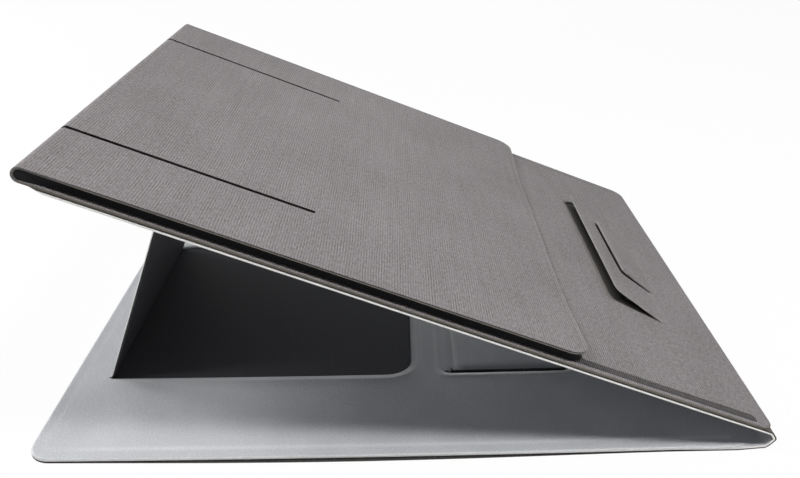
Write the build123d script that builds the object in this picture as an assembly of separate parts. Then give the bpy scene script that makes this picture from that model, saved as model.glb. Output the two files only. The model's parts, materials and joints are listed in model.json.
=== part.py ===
from build123d import *
import os
from math import cos, radians, sin

# A folding sleeve that props itself up as a laptop stand: a base leaf on the table, a sloping
# leaf with a pocket, a spine fold that joins them, two props cut out of the base, and a stop tab.
# Millimetres. +X points to the low end, where the spine is, +Y across the stand and +Z up.
# The origin is on the table, under the middle of the stand.

# Overall sizes
LENGTH = 340.0  # left edge of the base to the outermost line of the spine
WIDTH = 283.0
TILT = 22.1  # slope of the leaf on the tall prop, in degrees
LOW_TILT = 15.0  # slope that the low prop is cut for
LEAF_REACH = 338.0  # axis of the spine to the high end of the leaf

# Sheets
SPINE_R = 5.3  # outer radius of the spine
SKIN = 0.6  # linen-grained outer skin
LINING = 0.8  # pale lining
BASE_BOARD = 1.2
FLOOR = 0.2  # black sheet at the bottom of the two prop windows
LEAF_BOARD = 0.7
PANEL_SKIN = 0.5  # linen-grained skin on the leaf's top
FRONT_SKIN = 0.6  # pocket front, outside
FRONT_LINING = 0.6  # pocket front, inside
PROP_LINING = 0.6
PROP_BOARD = 0.6
PROP_SKIN = 0.3
TAB_BOARD = 0.4
EDGE_WRAP = 0.8  # linen-grained skin turned down over the edge of a board or of the pocket's lining

# Base
BASE_CORNER_R = 11.0
BOARD_INSET = 1.2  # the lining rolls over the edge of the board
RIM_INSET = 4.0  # pressed line beside the rolled rim
RIM_WIDTH = 1.2
RIM_DEPTH = 0.25
SPINE_RAMP = 8.0  # the lining comes down from the board over this length
SPINE_FLAT = 4.0  # and lies flat over this length before the spine turns
LINING_ROLL = 0.6  # round where the lining turns down over an edge of the board

# Tall prop and its window
PROP_FOOT = 19.7  # left edge of the base to the foot of the tall prop
PROP_FLAP = 35.0  # magnet flap that folds over under the leaf
WINDOW_WIDTH = 157.0
WINDOW_R = 13.0
FOOT_FOLD_R = 0.8  # inside radius where the lining turns up into the prop
CREASE_R = 0.4  # inside radius where a prop folds over to its magnet flap
SIDE_GAP = 0.8  # prop to the cut edge of its window
HINGE_GAP = 0.5  # panel to the axis that it folds on
FLAP_REST_GAP = 0.6  # magnet flap to the underside of the leaf

# Low prop and its window
LOW_FOOT = 195.5  # left edge of the base to the crease of the low prop
LOW_FLAP = 26.0
LOW_WINDOW_R = 8.0
CREASE_HALF = 2.5  # half of the pressed crease's width
CREASE_SKIN = 0.4  # lining pressed thin in the crease

# Magnets and keeper plates
MAGNET_LENGTH = 30.0
MAGNET_WIDTH = 12.0
MAGNET_PITCH = 42.0
MAGNET_COUNT = 3
MAGNET_FIT = 0.1
KEEPER = 0.4
KEEPER_WIDTH = 20.0
KEEPER_LENGTH = 130.0

# Leaf and pocket
LOW_OVERHANG = 3.0  # panel past the axis of the spine
LEAF_CORNER_R = 8.0
SOFT_EDGE = 0.35  # round along the turned edges of the leaf's skin and of the pocket front
LINING_SETBACK = 10.5  # high end of the leaf to where its underside is flat
UNDER_BEVEL = 6.5  # the backing and the lining taper away to the high end over this length
POCKET_GAP = 4.4
MOUTH = 92.0  # axis of the spine to the mouth of the pocket
MOUTH_R = 11.0
SLIT_LENGTH = 116.5
SLIT_INSET = 50.0  # edge of the leaf to each slit
SLIT_WIDTH = 2.4
GUSSET_INSET = 2.6
GUSSET = 0.8
GUSSET_BOW = 1.2  # the elastic draws in at half height
GUSSET_MOUTH_GAP = 8.0
BAND_WIDTH = 5.2  # ribbed band that carries on past the mouth
BAND = 0.3
BAND_LOW_GAP = 8.0  # low edge of the panel to the end of the band
BAND_TUCK = 14.0  # length of the band that is under the pocket

# Stop tab and the tongue inside it
TAB_HINGE = 29.4  # axis of the spine to the crease of the tab
TAB_CENTRE = 7.5  # the tab stands a little towards the far side
TAB_DEPTH = 28.5
TAB_HINGE_HALF = 74.5
TAB_FREE_HALF = 65.5
TAB_R = 6.0
TAB_LIFT = 12.0  # degrees
TAB_GAP = 0.6
TONGUE_BELOW = 5.0  # crease of the tab to the crease of the tongue
TONGUE_DEPTH = 21.0
TONGUE_HINGE_HALF = 39.0
TONGUE_FREE_HALF = 35.0
TONGUE_R = 4.0
TONGUE_LIFT = 15.0  # degrees

# Edges nearer than this to the line of a seam belong to it
SEAM_FIT = 0.01

# Directions in the leaf: down the slope, and square to it
SLOPE = radians(TILT)
DOWN = Vector(cos(SLOPE), 0, -sin(SLOPE))
UP = Vector(sin(SLOPE), 0, cos(SLOPE))
HALF_WIDTH = WIDTH / 2
LEFT = -LENGTH / 2
BASE_TOP = SKIN + BASE_BOARD + LINING
SPINE_AXIS = Vector(LENGTH / 2 - SPINE_R, 0, SPINE_R)

# Heights in the leaf, square to it from the axis of the spine
BACKING_N = SPINE_R - SKIN
LINING_N = BACKING_N - LINING
BOARD_N = SPINE_R
COVER_N = BOARD_N + LEAF_BOARD
POCKET_N = COVER_N + PANEL_SKIN
FRONT_N = POCKET_N + POCKET_GAP
TOP_N = FRONT_N + FRONT_LINING + FRONT_SKIN
END_FOLD_R = (TOP_N - BOARD_N) / 2
PANEL_HIGH = END_FOLD_R - LEAF_REACH

# Tall prop: it stands square to the leaf
PROP_T = PROP_LINING + PROP_BOARD + PROP_SKIN
PROP_AXIS = Vector(LEFT + PROP_FOOT, 0, BASE_TOP + FOOT_FOLD_R)
WINDOW_HALF = WINDOW_WIDTH / 2
PROP_HALF = WINDOW_HALF - SIDE_GAP
CREASE_OUT = CREASE_R + PROP_T
AXIS_TO_LEAF = LINING_N - (PROP_AXIS - SPINE_AXIS).dot(UP)
PROP_LENGTH = AXIS_TO_LEAF - FLAP_REST_GAP - CREASE_OUT
WINDOW_LENGTH = PROP_LENGTH + PROP_FLAP + SIDE_GAP
CREASE_AXIS = PROP_AXIS + UP * PROP_LENGTH + DOWN * (FOOT_FOLD_R + CREASE_OUT)

# Low prop: it lies flat, and is as long as the leaf is high above its crease at the low slope
LOW_AXIS = Vector(LEFT + LOW_FOOT, 0, BASE_TOP - LINING + CREASE_SKIN)
LOW_UP = Vector(sin(radians(LOW_TILT)), 0, cos(radians(LOW_TILT)))
LOW_TO_LEAF = LINING_N - (LOW_AXIS - SPINE_AXIS).dot(LOW_UP)
LOW_LENGTH = LOW_TO_LEAF - FLAP_REST_GAP - CREASE_OUT
LOW_END = LOW_AXIS.X + LOW_LENGTH + LOW_FLAP

# Placing planes: X runs along the sheet, Y across the stand and Z out of its face
BASE_PLANE = Plane.XY
LEAF_PLANE = Plane(SPINE_AXIS, x_dir=DOWN, z_dir=UP)
LEAF_SECTION = Plane(SPINE_AXIS, x_dir=DOWN, z_dir=(0, -1, 0))
PROP_PLANE = Plane(PROP_AXIS, x_dir=UP, z_dir=-DOWN)
FLAP_PLANE = Plane(CREASE_AXIS, x_dir=DOWN, z_dir=UP)


def outline(x0, x1, half, left_r=0.0, right_r=0.0, y=0.0):
    """A rectangle from x0 to x1, with its two left and two right corners rounded."""
    face = Pos((x0 + x1) / 2, y) * Rectangle(x1 - x0, 2 * half)
    if left_r:
        face = fillet(face.vertices().sort_by(Axis.X)[:2], left_r)
    if right_r:
        face = fillet(face.vertices().sort_by(Axis.X)[-2:], right_r)
    return face


def trapezoid(x_hinge, depth, hinge_half, free_half, corner_r, y):
    """A flap's outline: its hinge side at x_hinge, and a shorter free side uphill with round corners."""
    points = [
        (x_hinge, y - hinge_half),
        (x_hinge, y + hinge_half),
        (x_hinge - depth, y + free_half),
        (x_hinge - depth, y - free_half),
    ]
    face = make_face(Polyline(*points, close=True))
    return fillet(face.vertices().sort_by(Axis.X)[:2], corner_r)


def sheet(plane, face, low, high):
    """A flat sheet on a placing plane, between two heights above it."""
    return extrude(plane.offset(low) * face, high - low)


def soft_sheet(face, low, high, soft_r, seams_x):
    """A sheet on the XY plane with round upper edges, except where it runs on into another at a seam."""
    flat = sheet(Plane.XY, face, low, high)
    top_edges = flat.edges().group_by(Axis.Z)[-1]
    free_edges = [edge for edge in top_edges if all(abs(edge.center().X - x) > SEAM_FIT for x in seams_x)]
    return fillet(free_edges, soft_r)


def bend(axis, r_in, r_out, start, span, half):
    """A sheet that turns about an axis across the stand. Angles run from +X up to +Z."""
    centre = (axis.X, axis.Z)
    outer = CenterArc(centre, r_out, start, span)
    inner = CenterArc(centre, r_in, start, span)
    face = make_face([outer, inner, Line(outer @ 0, inner @ 0), Line(outer @ 1, inner @ 1)])
    return extrude(Plane.XZ * face, half, both=True)


def write(**nodes):
    for name, shape in nodes.items():
        export_step(shape, f"parts/{name}.step")


def magnet_bar(plane, x_middle, low, fit=0.0):
    """A row of flat bar magnets across a flap, as thick as its board."""
    spots = GridLocations(1, MAGNET_PITCH, 1, MAGNET_COUNT)
    faces = [spot * Rectangle(MAGNET_WIDTH + 2 * fit, MAGNET_LENGTH + 2 * fit) for spot in spots]
    return [sheet(plane, Pos(x_middle, 0) * face, low, low + PROP_BOARD) for face in faces]


def base_leaf():
    """Outer skin, board and lining of the leaf on the table, with the two prop windows cut in it."""
    spine_x = SPINE_AXIS.X
    board_end = spine_x - SPINE_FLAT - SPINE_RAMP
    window_x = PROP_AXIS.X
    window_end = window_x + WINDOW_LENGTH
    low_window_x = LOW_AXIS.X - CREASE_HALF
    low_window_end = LOW_END + SIDE_GAP
    window = outline(window_x, window_end, WINDOW_HALF, right_r=WINDOW_R)
    low_window = outline(low_window_x, low_window_end, WINDOW_HALF, right_r=LOW_WINDOW_R)
    windows = window + low_window
    wide_half = WINDOW_HALF + LINING
    wide_windows = outline(
        window_x - LINING, window_end + LINING, wide_half, right_r=WINDOW_R + LINING
    ) + outline(
        low_window_x - LINING, low_window_end + LINING, wide_half, right_r=LOW_WINDOW_R + LINING
    )

    whole = outline(LEFT, board_end, HALF_WIDTH, left_r=BASE_CORNER_R)
    board_face = outline(
        LEFT + BOARD_INSET, board_end, HALF_WIDTH - BOARD_INSET, left_r=BASE_CORNER_R - BOARD_INSET
    )
    board_top = SKIN + BASE_BOARD
    cover = sheet(BASE_PLANE, outline(LEFT, spine_x, HALF_WIDTH, left_r=BASE_CORNER_R), 0, SKIN)
    board = sheet(BASE_PLANE, board_face - wide_windows, SKIN, board_top)
    lining = soft_sheet(whole - windows, SKIN, BASE_TOP, LINING_ROLL, (board_end, window_x))
    lining -= sheet(BASE_PLANE, board_face - wide_windows, SKIN, board_top)
    rim_lines = []
    window_rims = []
    for inset in (RIM_INSET, RIM_INSET + RIM_WIDTH):
        rim_lines.append(outline(LEFT + inset, board_end, HALF_WIDTH - inset, left_r=BASE_CORNER_R - inset))
        rim_end = window_end + inset
        window_rims.append(outline(window_x, rim_end, WINDOW_HALF + inset, right_r=WINDOW_R + inset))
    for pressed in (rim_lines[0] - rim_lines[1], window_rims[1] - window_rims[0]):
        lining -= sheet(BASE_PLANE, pressed, BASE_TOP - RIM_DEPTH, BASE_TOP)
    write(
        base_cover=cover,
        base_board=board,
        base_lining=lining,
        window_floor=sheet(BASE_PLANE, window, SKIN, SKIN + FLOOR),
        low_window_floor=sheet(BASE_PLANE, low_window, SKIN, SKIN + FLOOR),
    )


def spine():
    """The fold that joins the leaves: the outer skin and the lining, turned about one axis."""
    half_turn = 180 - TILT
    cover = bend(SPINE_AXIS, BACKING_N, SPINE_R, -90, half_turn, HALF_WIDTH)
    turn = bend(SPINE_AXIS, LINING_N, BACKING_N, -90, half_turn, HALF_WIDTH)
    flat_x = SPINE_AXIS.X - SPINE_FLAT
    ramp_x = flat_x - SPINE_RAMP
    ramp_points = [
        (SPINE_AXIS.X, SKIN),
        (flat_x, SKIN),
        (ramp_x, BASE_TOP - LINING),
        (ramp_x, BASE_TOP),
        (flat_x, SKIN + LINING),
        (SPINE_AXIS.X, SKIN + LINING),
    ]
    ramp = extrude(Plane.XZ * make_face(Polyline(*ramp_points, close=True)), HALF_WIDTH, both=True)
    write(spine_cover=cover, spine_lining=turn + ramp)


def under_sheet(low, high):
    """A sheet on the leaf's underside, with its high edge cut to the bevel that tapers to the high end."""
    flat_start = LINING_SETBACK - LEAF_REACH
    rise = UNDER_BEVEL / (BOARD_N - LINING_N)
    points = [
        (flat_start - rise * (low - LINING_N), low),
        (0, low),
        (0, high),
        (flat_start - rise * (high - LINING_N), high),
    ]
    face = make_face(Polyline(*points, close=True))
    return extrude(LEAF_SECTION * face, HALF_WIDTH, both=True)


def leaf():
    """Lining, backing skin, board and linen-grained skin of the sloping leaf, open under the stop tab."""
    panel = outline(PANEL_HIGH, LOW_OVERHANG, HALF_WIDTH, right_r=LEAF_CORNER_R)
    tab_hole = trapezoid(
        TAB_GAP - TAB_HINGE,
        TAB_DEPTH + 2 * TAB_GAP,
        TAB_HINGE_HALF + TAB_GAP,
        TAB_FREE_HALF + TAB_GAP,
        TAB_R + TAB_GAP,
        TAB_CENTRE,
    )
    tongue_hole = trapezoid(
        TAB_GAP - TAB_HINGE + TONGUE_BELOW,
        TONGUE_DEPTH + 2 * TAB_GAP,
        TONGUE_HINGE_HALF + TAB_GAP,
        TONGUE_FREE_HALF + TAB_GAP,
        TONGUE_R + TAB_GAP,
        TAB_CENTRE,
    )
    holes = tab_hole + tongue_hole
    board_face = outline(
        PANEL_HIGH, LOW_OVERHANG - EDGE_WRAP, HALF_WIDTH - EDGE_WRAP, right_r=LEAF_CORNER_R - EDGE_WRAP
    )
    board = sheet(LEAF_PLANE, board_face - holes, BOARD_N, COVER_N)
    cover = LEAF_PLANE * soft_sheet(panel, BOARD_N, POCKET_N, SOFT_EDGE, [PANEL_HIGH])
    cover -= sheet(LEAF_PLANE, holes, BOARD_N, POCKET_N)
    cover -= sheet(LEAF_PLANE, board_face, BOARD_N, COVER_N)

    flap_middle = (CREASE_AXIS - SPINE_AXIS).dot(DOWN) + PROP_FLAP / 2
    low_foot = (LOW_AXIS - SPINE_AXIS).length
    low_middle = CREASE_OUT + LOW_FLAP / 2 - low_foot * cos(radians(LOW_TILT))
    keepers = {"tall_keeper": flap_middle, "low_keeper": low_middle}
    for name, middle in keepers.items():
        face = Pos(middle, 0) * Rectangle(KEEPER_WIDTH, KEEPER_LENGTH)
        plate = sheet(LEAF_PLANE, face, BOARD_N, BOARD_N + KEEPER)
        board -= plate
        write(**{name: plate})

    band_high = -MOUTH - BAND_TUCK
    band_low = LOW_OVERHANG - BAND_LOW_GAP
    band_y = HALF_WIDTH - GUSSET_INSET - BAND_WIDTH / 2
    for name, side in (("near", -1), ("far", 1)):
        face = outline(band_high, band_low, BAND_WIDTH / 2, right_r=BAND_WIDTH / 3, y=side * band_y)
        band = sheet(LEAF_PLANE, face, POCKET_N - BAND, POCKET_N)
        cover -= band
        write(**{f"{name}_edge_band": band})
    write(
        leaf_lining=under_sheet(LINING_N, BACKING_N),
        leaf_backing=under_sheet(BACKING_N, BOARD_N),
        leaf_board=board,
        leaf_cover=cover,
    )


def pocket():
    """Pocket front with its two slits, the fold round the high end, and the elastic side gussets."""
    front = outline(PANEL_HIGH, -MOUTH, HALF_WIDTH, right_r=MOUTH_R)
    inside = outline(PANEL_HIGH, -MOUTH - EDGE_WRAP, HALF_WIDTH - EDGE_WRAP, right_r=MOUTH_R - EDGE_WRAP)
    slit_y = HALF_WIDTH - SLIT_INSET
    slit_half = SLIT_WIDTH / 2
    slit_end = SLIT_LENGTH - LEAF_REACH
    slits = [outline(-LEAF_REACH, slit_end, slit_half, y=side * slit_y) for side in (-1, 1)]
    cover = LEAF_PLANE * soft_sheet(front, FRONT_N, TOP_N, SOFT_EDGE, [PANEL_HIGH])
    cover -= sheet(LEAF_PLANE, inside, FRONT_N, FRONT_N + FRONT_LINING)
    fold_middle = (TOP_N + BOARD_N) / 2
    fold_axis = SPINE_AXIS + DOWN * PANEL_HIGH + UP * fold_middle
    end_fold = bend(
        fold_axis, END_FOLD_R - FRONT_LINING - FRONT_SKIN, END_FOLD_R, 90 - TILT, 180, HALF_WIDTH
    )
    circles = end_fold.edges().filter_by(GeomType.CIRCLE)
    end_fold = fillet([edge for edge in circles if edge.radius > END_FOLD_R - SEAM_FIT], SOFT_EDGE)
    for slit in slits:
        cover -= sheet(LEAF_PLANE, slit, FRONT_N, TOP_N)
        end_fold -= sheet(LEAF_PLANE, slit, fold_middle, TOP_N)
    write(
        pocket_front_lining=sheet(LEAF_PLANE, inside - slits, FRONT_N, FRONT_N + FRONT_LINING),
        pocket_front_cover=cover,
        pocket_end_fold=end_fold,
    )
    gusset_length = -MOUTH - GUSSET_MOUTH_GAP - PANEL_HIGH
    gap_middle = (POCKET_N + FRONT_N) / 2
    section_plane = Plane(SPINE_AXIS + DOWN * PANEL_HIGH, x_dir=(0, 1, 0), z_dir=DOWN)
    for name, side in (("near", -1), ("far", 1)):
        outer_y = side * (HALF_WIDTH - GUSSET_INSET)
        inner_y = outer_y - side * GUSSET
        walls = []
        for y in (outer_y, inner_y):
            bowed = (y - side * GUSSET_BOW, gap_middle)
            walls.append(ThreePointArc((y, POCKET_N), bowed, (y, FRONT_N)))
        ends = [Line(walls[0] @ 0, walls[1] @ 0), Line(walls[0] @ 1, walls[1] @ 1)]
        write(**{f"{name}_gusset": extrude(section_plane * make_face(walls + ends), gusset_length)})


def prop_panels(prefix, plane, x0, x1, lining_top, free_r=0.0):
    """Lining, board and black skin of one prop panel, from its lined face down."""
    face = outline(x0, x1, PROP_HALF, right_r=free_r)
    board_top = lining_top - PROP_LINING
    skin_top = board_top - PROP_BOARD
    return {
        f"{prefix}_lining": sheet(plane, face, board_top, lining_top),
        f"{prefix}_board": sheet(plane, face, skin_top, board_top),
        f"{prefix}_skin": sheet(plane, face, skin_top - PROP_SKIN, skin_top),
    }


def with_magnets(panels, prefix, plane, x_middle, lining_top):
    """Cuts the magnets' pockets out of a flap's board, and adds the magnets."""
    low = lining_top - PROP_LINING - PROP_BOARD
    for pocket_block in magnet_bar(plane, x_middle, low, MAGNET_FIT):
        panels[f"{prefix}_board"] -= pocket_block
    panels[f"{prefix}_magnets"] = Compound(magnet_bar(plane, x_middle, low))
    return panels


def tall_prop():
    """The prop that holds the leaf up, its magnet flap, and the two folds of lining that hinge them."""
    lined_face = -FOOT_FOLD_R
    foot = bend(
        PROP_AXIS, FOOT_FOLD_R, FOOT_FOLD_R + PROP_LINING, -90, 90 - TILT, PROP_HALF
    ) + sheet(PROP_PLANE, outline(0, HINGE_GAP, PROP_HALF), lined_face - PROP_LINING, lined_face)
    write(prop_foot_fold=foot)
    write(**prop_panels("prop", PROP_PLANE, HINGE_GAP, PROP_LENGTH, lined_face))

    crease = bend(CREASE_AXIS, CREASE_OUT - PROP_LINING, CREASE_OUT, 90 - TILT, 90, PROP_HALF)
    crease += sheet(
        FLAP_PLANE, outline(0, HINGE_GAP, PROP_HALF), CREASE_OUT - PROP_LINING, CREASE_OUT
    )
    write(prop_crease_fold=crease)
    flap = prop_panels("prop_flap", FLAP_PLANE, HINGE_GAP, PROP_FLAP, CREASE_OUT, WINDOW_R - SIDE_GAP)
    write(**with_magnets(flap, "prop_flap", FLAP_PLANE, PROP_FLAP / 2, CREASE_OUT))


def low_prop():
    """The short prop for a lower slope, flat in its window, with its magnet flap and two creases."""
    start = LOW_AXIS.X + CREASE_HALF
    crease_x = LOW_AXIS.X + LOW_LENGTH
    crease_low = BASE_TOP - LINING
    foot = outline(LOW_AXIS.X - CREASE_HALF, start, PROP_HALF)
    write(low_prop_crease=sheet(BASE_PLANE, foot, crease_low, crease_low + CREASE_SKIN))
    write(**prop_panels("low_prop", BASE_PLANE, start, crease_x, BASE_TOP))
    gap_face = outline(crease_x, crease_x + HINGE_GAP, PROP_HALF)
    write(low_flap_crease=sheet(BASE_PLANE, gap_face, BASE_TOP - PROP_LINING, BASE_TOP))
    flap = prop_panels(
        "low_flap", BASE_PLANE, crease_x + HINGE_GAP, LOW_END, BASE_TOP, LOW_WINDOW_R - SIDE_GAP
    )
    write(**with_magnets(flap, "low_flap", BASE_PLANE, crease_x + LOW_FLAP / 2, BASE_TOP))


def lifted_plane(hinge, lift):
    """The plane of a flap in the leaf's top that is hinged at a distance from the spine and lifted."""
    turned = SLOPE + radians(lift)
    x_dir = Vector(cos(turned), 0, -sin(turned))
    z_dir = Vector(sin(turned), 0, cos(turned))
    return Plane(SPINE_AXIS - DOWN * hinge + UP * POCKET_N, x_dir=x_dir, z_dir=z_dir)


def stop_tab():
    """The lifted tab that a laptop's front edge rests on, and the small tongue cut inside it."""
    tab_plane = lifted_plane(TAB_HINGE, TAB_LIFT)
    tongue_plane = lifted_plane(TAB_HINGE - TONGUE_BELOW, TONGUE_LIFT)
    tabs = []
    tongues = []
    for inset in (0.0, EDGE_WRAP):
        tab = trapezoid(
            -TAB_GAP,
            TAB_DEPTH - TAB_GAP - inset,
            TAB_HINGE_HALF - inset,
            TAB_FREE_HALF - inset,
            TAB_R - inset,
            TAB_CENTRE,
        )
        room = TAB_GAP + inset
        tab -= trapezoid(
            TONGUE_BELOW,
            TONGUE_DEPTH + room,
            TONGUE_HINGE_HALF + room,
            TONGUE_FREE_HALF + room,
            TONGUE_R + room,
            TAB_CENTRE,
        )
        tabs.append(tab)
        tongue = trapezoid(
            -TAB_GAP,
            TONGUE_DEPTH - TAB_GAP - inset,
            TONGUE_HINGE_HALF - inset,
            TONGUE_FREE_HALF - inset,
            TONGUE_R - inset,
            TAB_CENTRE,
        )
        tongues.append(tongue)
    crease = outline(-TAB_GAP, TAB_GAP, TAB_HINGE_HALF, y=TAB_CENTRE) - outline(
        -TAB_GAP, TAB_GAP, TONGUE_HINGE_HALF + TAB_GAP, y=TAB_CENTRE
    )
    tongue_crease = outline(-TAB_GAP, TAB_GAP, TONGUE_HINGE_HALF, y=TAB_CENTRE)
    flat_at = {
        "stop_tab_crease": (crease, LEAF_PLANE.offset(POCKET_N), -TAB_HINGE),
        "stop_tongue_crease": (tongue_crease, LEAF_PLANE.offset(POCKET_N), TONGUE_BELOW - TAB_HINGE),
    }
    for name, (face, plane, x) in flat_at.items():
        write(**{name: sheet(plane, Pos(x, 0) * face, -PANEL_SKIN, 0)})
    board_low = -PANEL_SKIN - TAB_BOARD
    flaps = {"stop_tab": (tab_plane, tabs), "stop_tongue": (tongue_plane, tongues)}
    for name, (plane, (cover_face, board_face)) in flaps.items():
        board = sheet(plane, board_face, board_low, -PANEL_SKIN)
        cover = sheet(plane, cover_face, board_low, 0) - board
        write(**{f"{name}_cover": cover, f"{name}_board": board})


os.makedirs("parts", exist_ok=True)
base_leaf()
spine()
leaf()
pocket()
tall_prop()
low_prop()
stop_tab()
print(f"prop {PROP_LENGTH:.2f}, flap {PROP_FLAP:.2f}, low prop {LOW_LENGTH:.2f}, low end {LOW_END:.2f}")
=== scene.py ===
# %% [markdown]
# # A folding sleeve that props up a laptop
# The object is a flat case of boards, skins and linings, folded open into a stand. The solid
# model holds its sizes, hinges and inner pieces. This lesson dresses it: every sheet that shows
# is made again as a smooth mesh with rolled edges, creases and cuts, and gets its own finish.
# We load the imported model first, because each sheet is placed from it.

# %% Load the frame
import json
import math

import bpy
import numpy as np
from mathutils import Matrix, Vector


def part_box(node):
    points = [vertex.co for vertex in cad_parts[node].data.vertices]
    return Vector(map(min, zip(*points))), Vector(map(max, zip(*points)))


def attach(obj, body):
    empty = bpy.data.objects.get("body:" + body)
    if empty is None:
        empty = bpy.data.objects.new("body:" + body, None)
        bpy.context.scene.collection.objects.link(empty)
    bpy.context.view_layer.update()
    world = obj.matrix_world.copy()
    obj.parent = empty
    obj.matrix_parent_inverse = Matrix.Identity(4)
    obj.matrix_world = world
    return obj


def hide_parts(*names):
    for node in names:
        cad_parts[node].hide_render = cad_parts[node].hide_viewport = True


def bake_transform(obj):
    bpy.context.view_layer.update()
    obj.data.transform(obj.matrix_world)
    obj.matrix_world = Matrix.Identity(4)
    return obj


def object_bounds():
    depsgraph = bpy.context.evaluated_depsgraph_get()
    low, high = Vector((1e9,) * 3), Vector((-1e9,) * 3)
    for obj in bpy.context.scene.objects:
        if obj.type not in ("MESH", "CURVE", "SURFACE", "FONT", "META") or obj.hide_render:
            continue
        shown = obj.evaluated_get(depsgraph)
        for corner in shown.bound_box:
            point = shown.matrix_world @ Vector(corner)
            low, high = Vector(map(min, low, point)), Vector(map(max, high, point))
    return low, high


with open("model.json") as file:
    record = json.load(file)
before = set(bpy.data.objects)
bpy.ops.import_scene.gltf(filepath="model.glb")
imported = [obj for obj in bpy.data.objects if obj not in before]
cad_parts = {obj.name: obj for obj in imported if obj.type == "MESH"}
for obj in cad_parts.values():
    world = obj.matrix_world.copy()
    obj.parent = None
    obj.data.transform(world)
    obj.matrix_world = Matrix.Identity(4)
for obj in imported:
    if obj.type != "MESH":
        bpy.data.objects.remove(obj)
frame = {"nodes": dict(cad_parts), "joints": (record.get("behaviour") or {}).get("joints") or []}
cad_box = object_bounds()
hinge_at = {joint["name"]: np.array(joint["pos_m"]) for joint in frame["joints"]}
print("nodes:", len(frame["nodes"]), "hinges:", sorted(hinge_at))

# %% [markdown]
# ## Sizes and directions
# A few driving sizes describe the whole stand. The leaf slopes down to the spine, so it is
# easiest to draw a sheet flat, as x along the slope, y across and h out of its face, and to
# place the finished grid with two directions. Hinge axes come from the frame.

# %% Sizes in metres
MM = 0.001
HALF = 141.5 * MM
LEFT = float(cad_box[0].x)
SLOPE = math.radians(22.1)
SPINE = hinge_at["cover_hinge"]
ALONG = np.array([1.0, 0.0, 0.0])
ACROSS = np.array([0.0, 1.0, 0.0])
UPRIGHT = np.array([0.0, 0.0, 1.0])
DOWNHILL = np.array([math.cos(SLOPE), 0.0, -math.sin(SLOPE)])
SQUARE = np.array([math.sin(SLOPE), 0.0, math.cos(SLOPE)])

SKIN = 0.6 * MM
LINING = 0.8 * MM
BASE_TOP = 2.6 * MM
SPINE_R = 5.3 * MM
BACKING_H = SPINE_R - SKIN
LINING_H = BACKING_H - LINING
PANEL_H = 6.5 * MM
POCKET_LOW_H = 10.9 * MM
POCKET_TOP_H = 12.1 * MM
END_R = (POCKET_TOP_H - SPINE_R) / 2
HIGH_X = -334.6 * MM
LOW_X = 3.0 * MM
MOUTH_X = -92.0 * MM


def place(origin, along, out, x, y, h):
    """Flat coordinates to points in the frame: origin, plus x along, y across and h out of the face."""
    x, y, h = np.broadcast_arrays(x, y, h)
    return origin + x[..., None] * along + y[..., None] * ACROSS + h[..., None] * out


def on_base(x, y, h):
    """A point of the base, which lies on the table: x along it, y across and h above the table."""
    return place(np.zeros(3), ALONG, UPRIGHT, x, y, h)


def on_leaf(x, y, h):
    """A point of the sloping leaf: x is negative uphill of the spine's axis, h is square to the slope."""
    return place(SPINE, DOWNHILL, SQUARE, x, y, h)


print("leaf rises to", round(float(on_leaf(HIGH_X, 0, POCKET_TOP_H)[2]) / MM, 1), "mm")

# %% [markdown]
# ## A sheet as a closed shell
# Every sheet here has two faces and a cut edge. A grid of points gives the upper face, a second
# grid gives the lower one, and a strip of faces closes every open edge. Cells can be left out, so
# one grid can also have slits. The flat coordinates become the UV map, in metres, so that a weave
# runs straight along a sheet even where the sheet folds. A point attribute called rim is 1 at the
# cut edge and fades inwards, and the finishes use it for cut edges. The rim also paints light and
# shade into the colour: above 0 it paints shade on some skins and highlights on the linings and the
# stop tab, and below 0 it paints light on the linen and shade on the lining.

# %% Shell helper
SHARP_ANGLE = math.radians(38)


def cell_faces(count_u, count_v, keep, closed):
    """Corner numbers of the kept cells, and of the walls round them, on an upper and a lower grid."""
    upper = np.arange(count_u * count_v).reshape(count_u, count_v)
    if closed:
        upper = np.vstack([upper, upper[:1]])
    lower = upper + count_u * count_v
    a, b = upper[:-1, :-1], upper[1:, :-1]
    c, d = upper[1:, 1:], upper[:-1, 1:]
    low_a, low_b = lower[:-1, :-1], lower[1:, :-1]
    low_c, low_d = lower[1:, 1:], lower[:-1, 1:]
    padded_keep = np.pad(keep, 1)
    if closed:
        padded_keep[0, 1:-1] = keep[-1]
        padded_keep[-1, 1:-1] = keep[0]
    faces = [
        np.stack([a, b, c, d], -1)[keep],
        np.stack([low_d, low_c, low_b, low_a], -1)[keep],
    ]
    walls = [
        (padded_keep[1:-1, :-2], (b, a, low_a, low_b)),
        (padded_keep[1:-1, 2:], (d, c, low_c, low_d)),
        (padded_keep[:-2, 1:-1], (a, d, low_d, low_a)),
        (padded_keep[2:, 1:-1], (c, b, low_b, low_c)),
    ]
    for neighbour, corners in walls:
        faces.append(np.stack(corners, -1)[keep & ~neighbour])
    return np.concatenate(faces)


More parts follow.
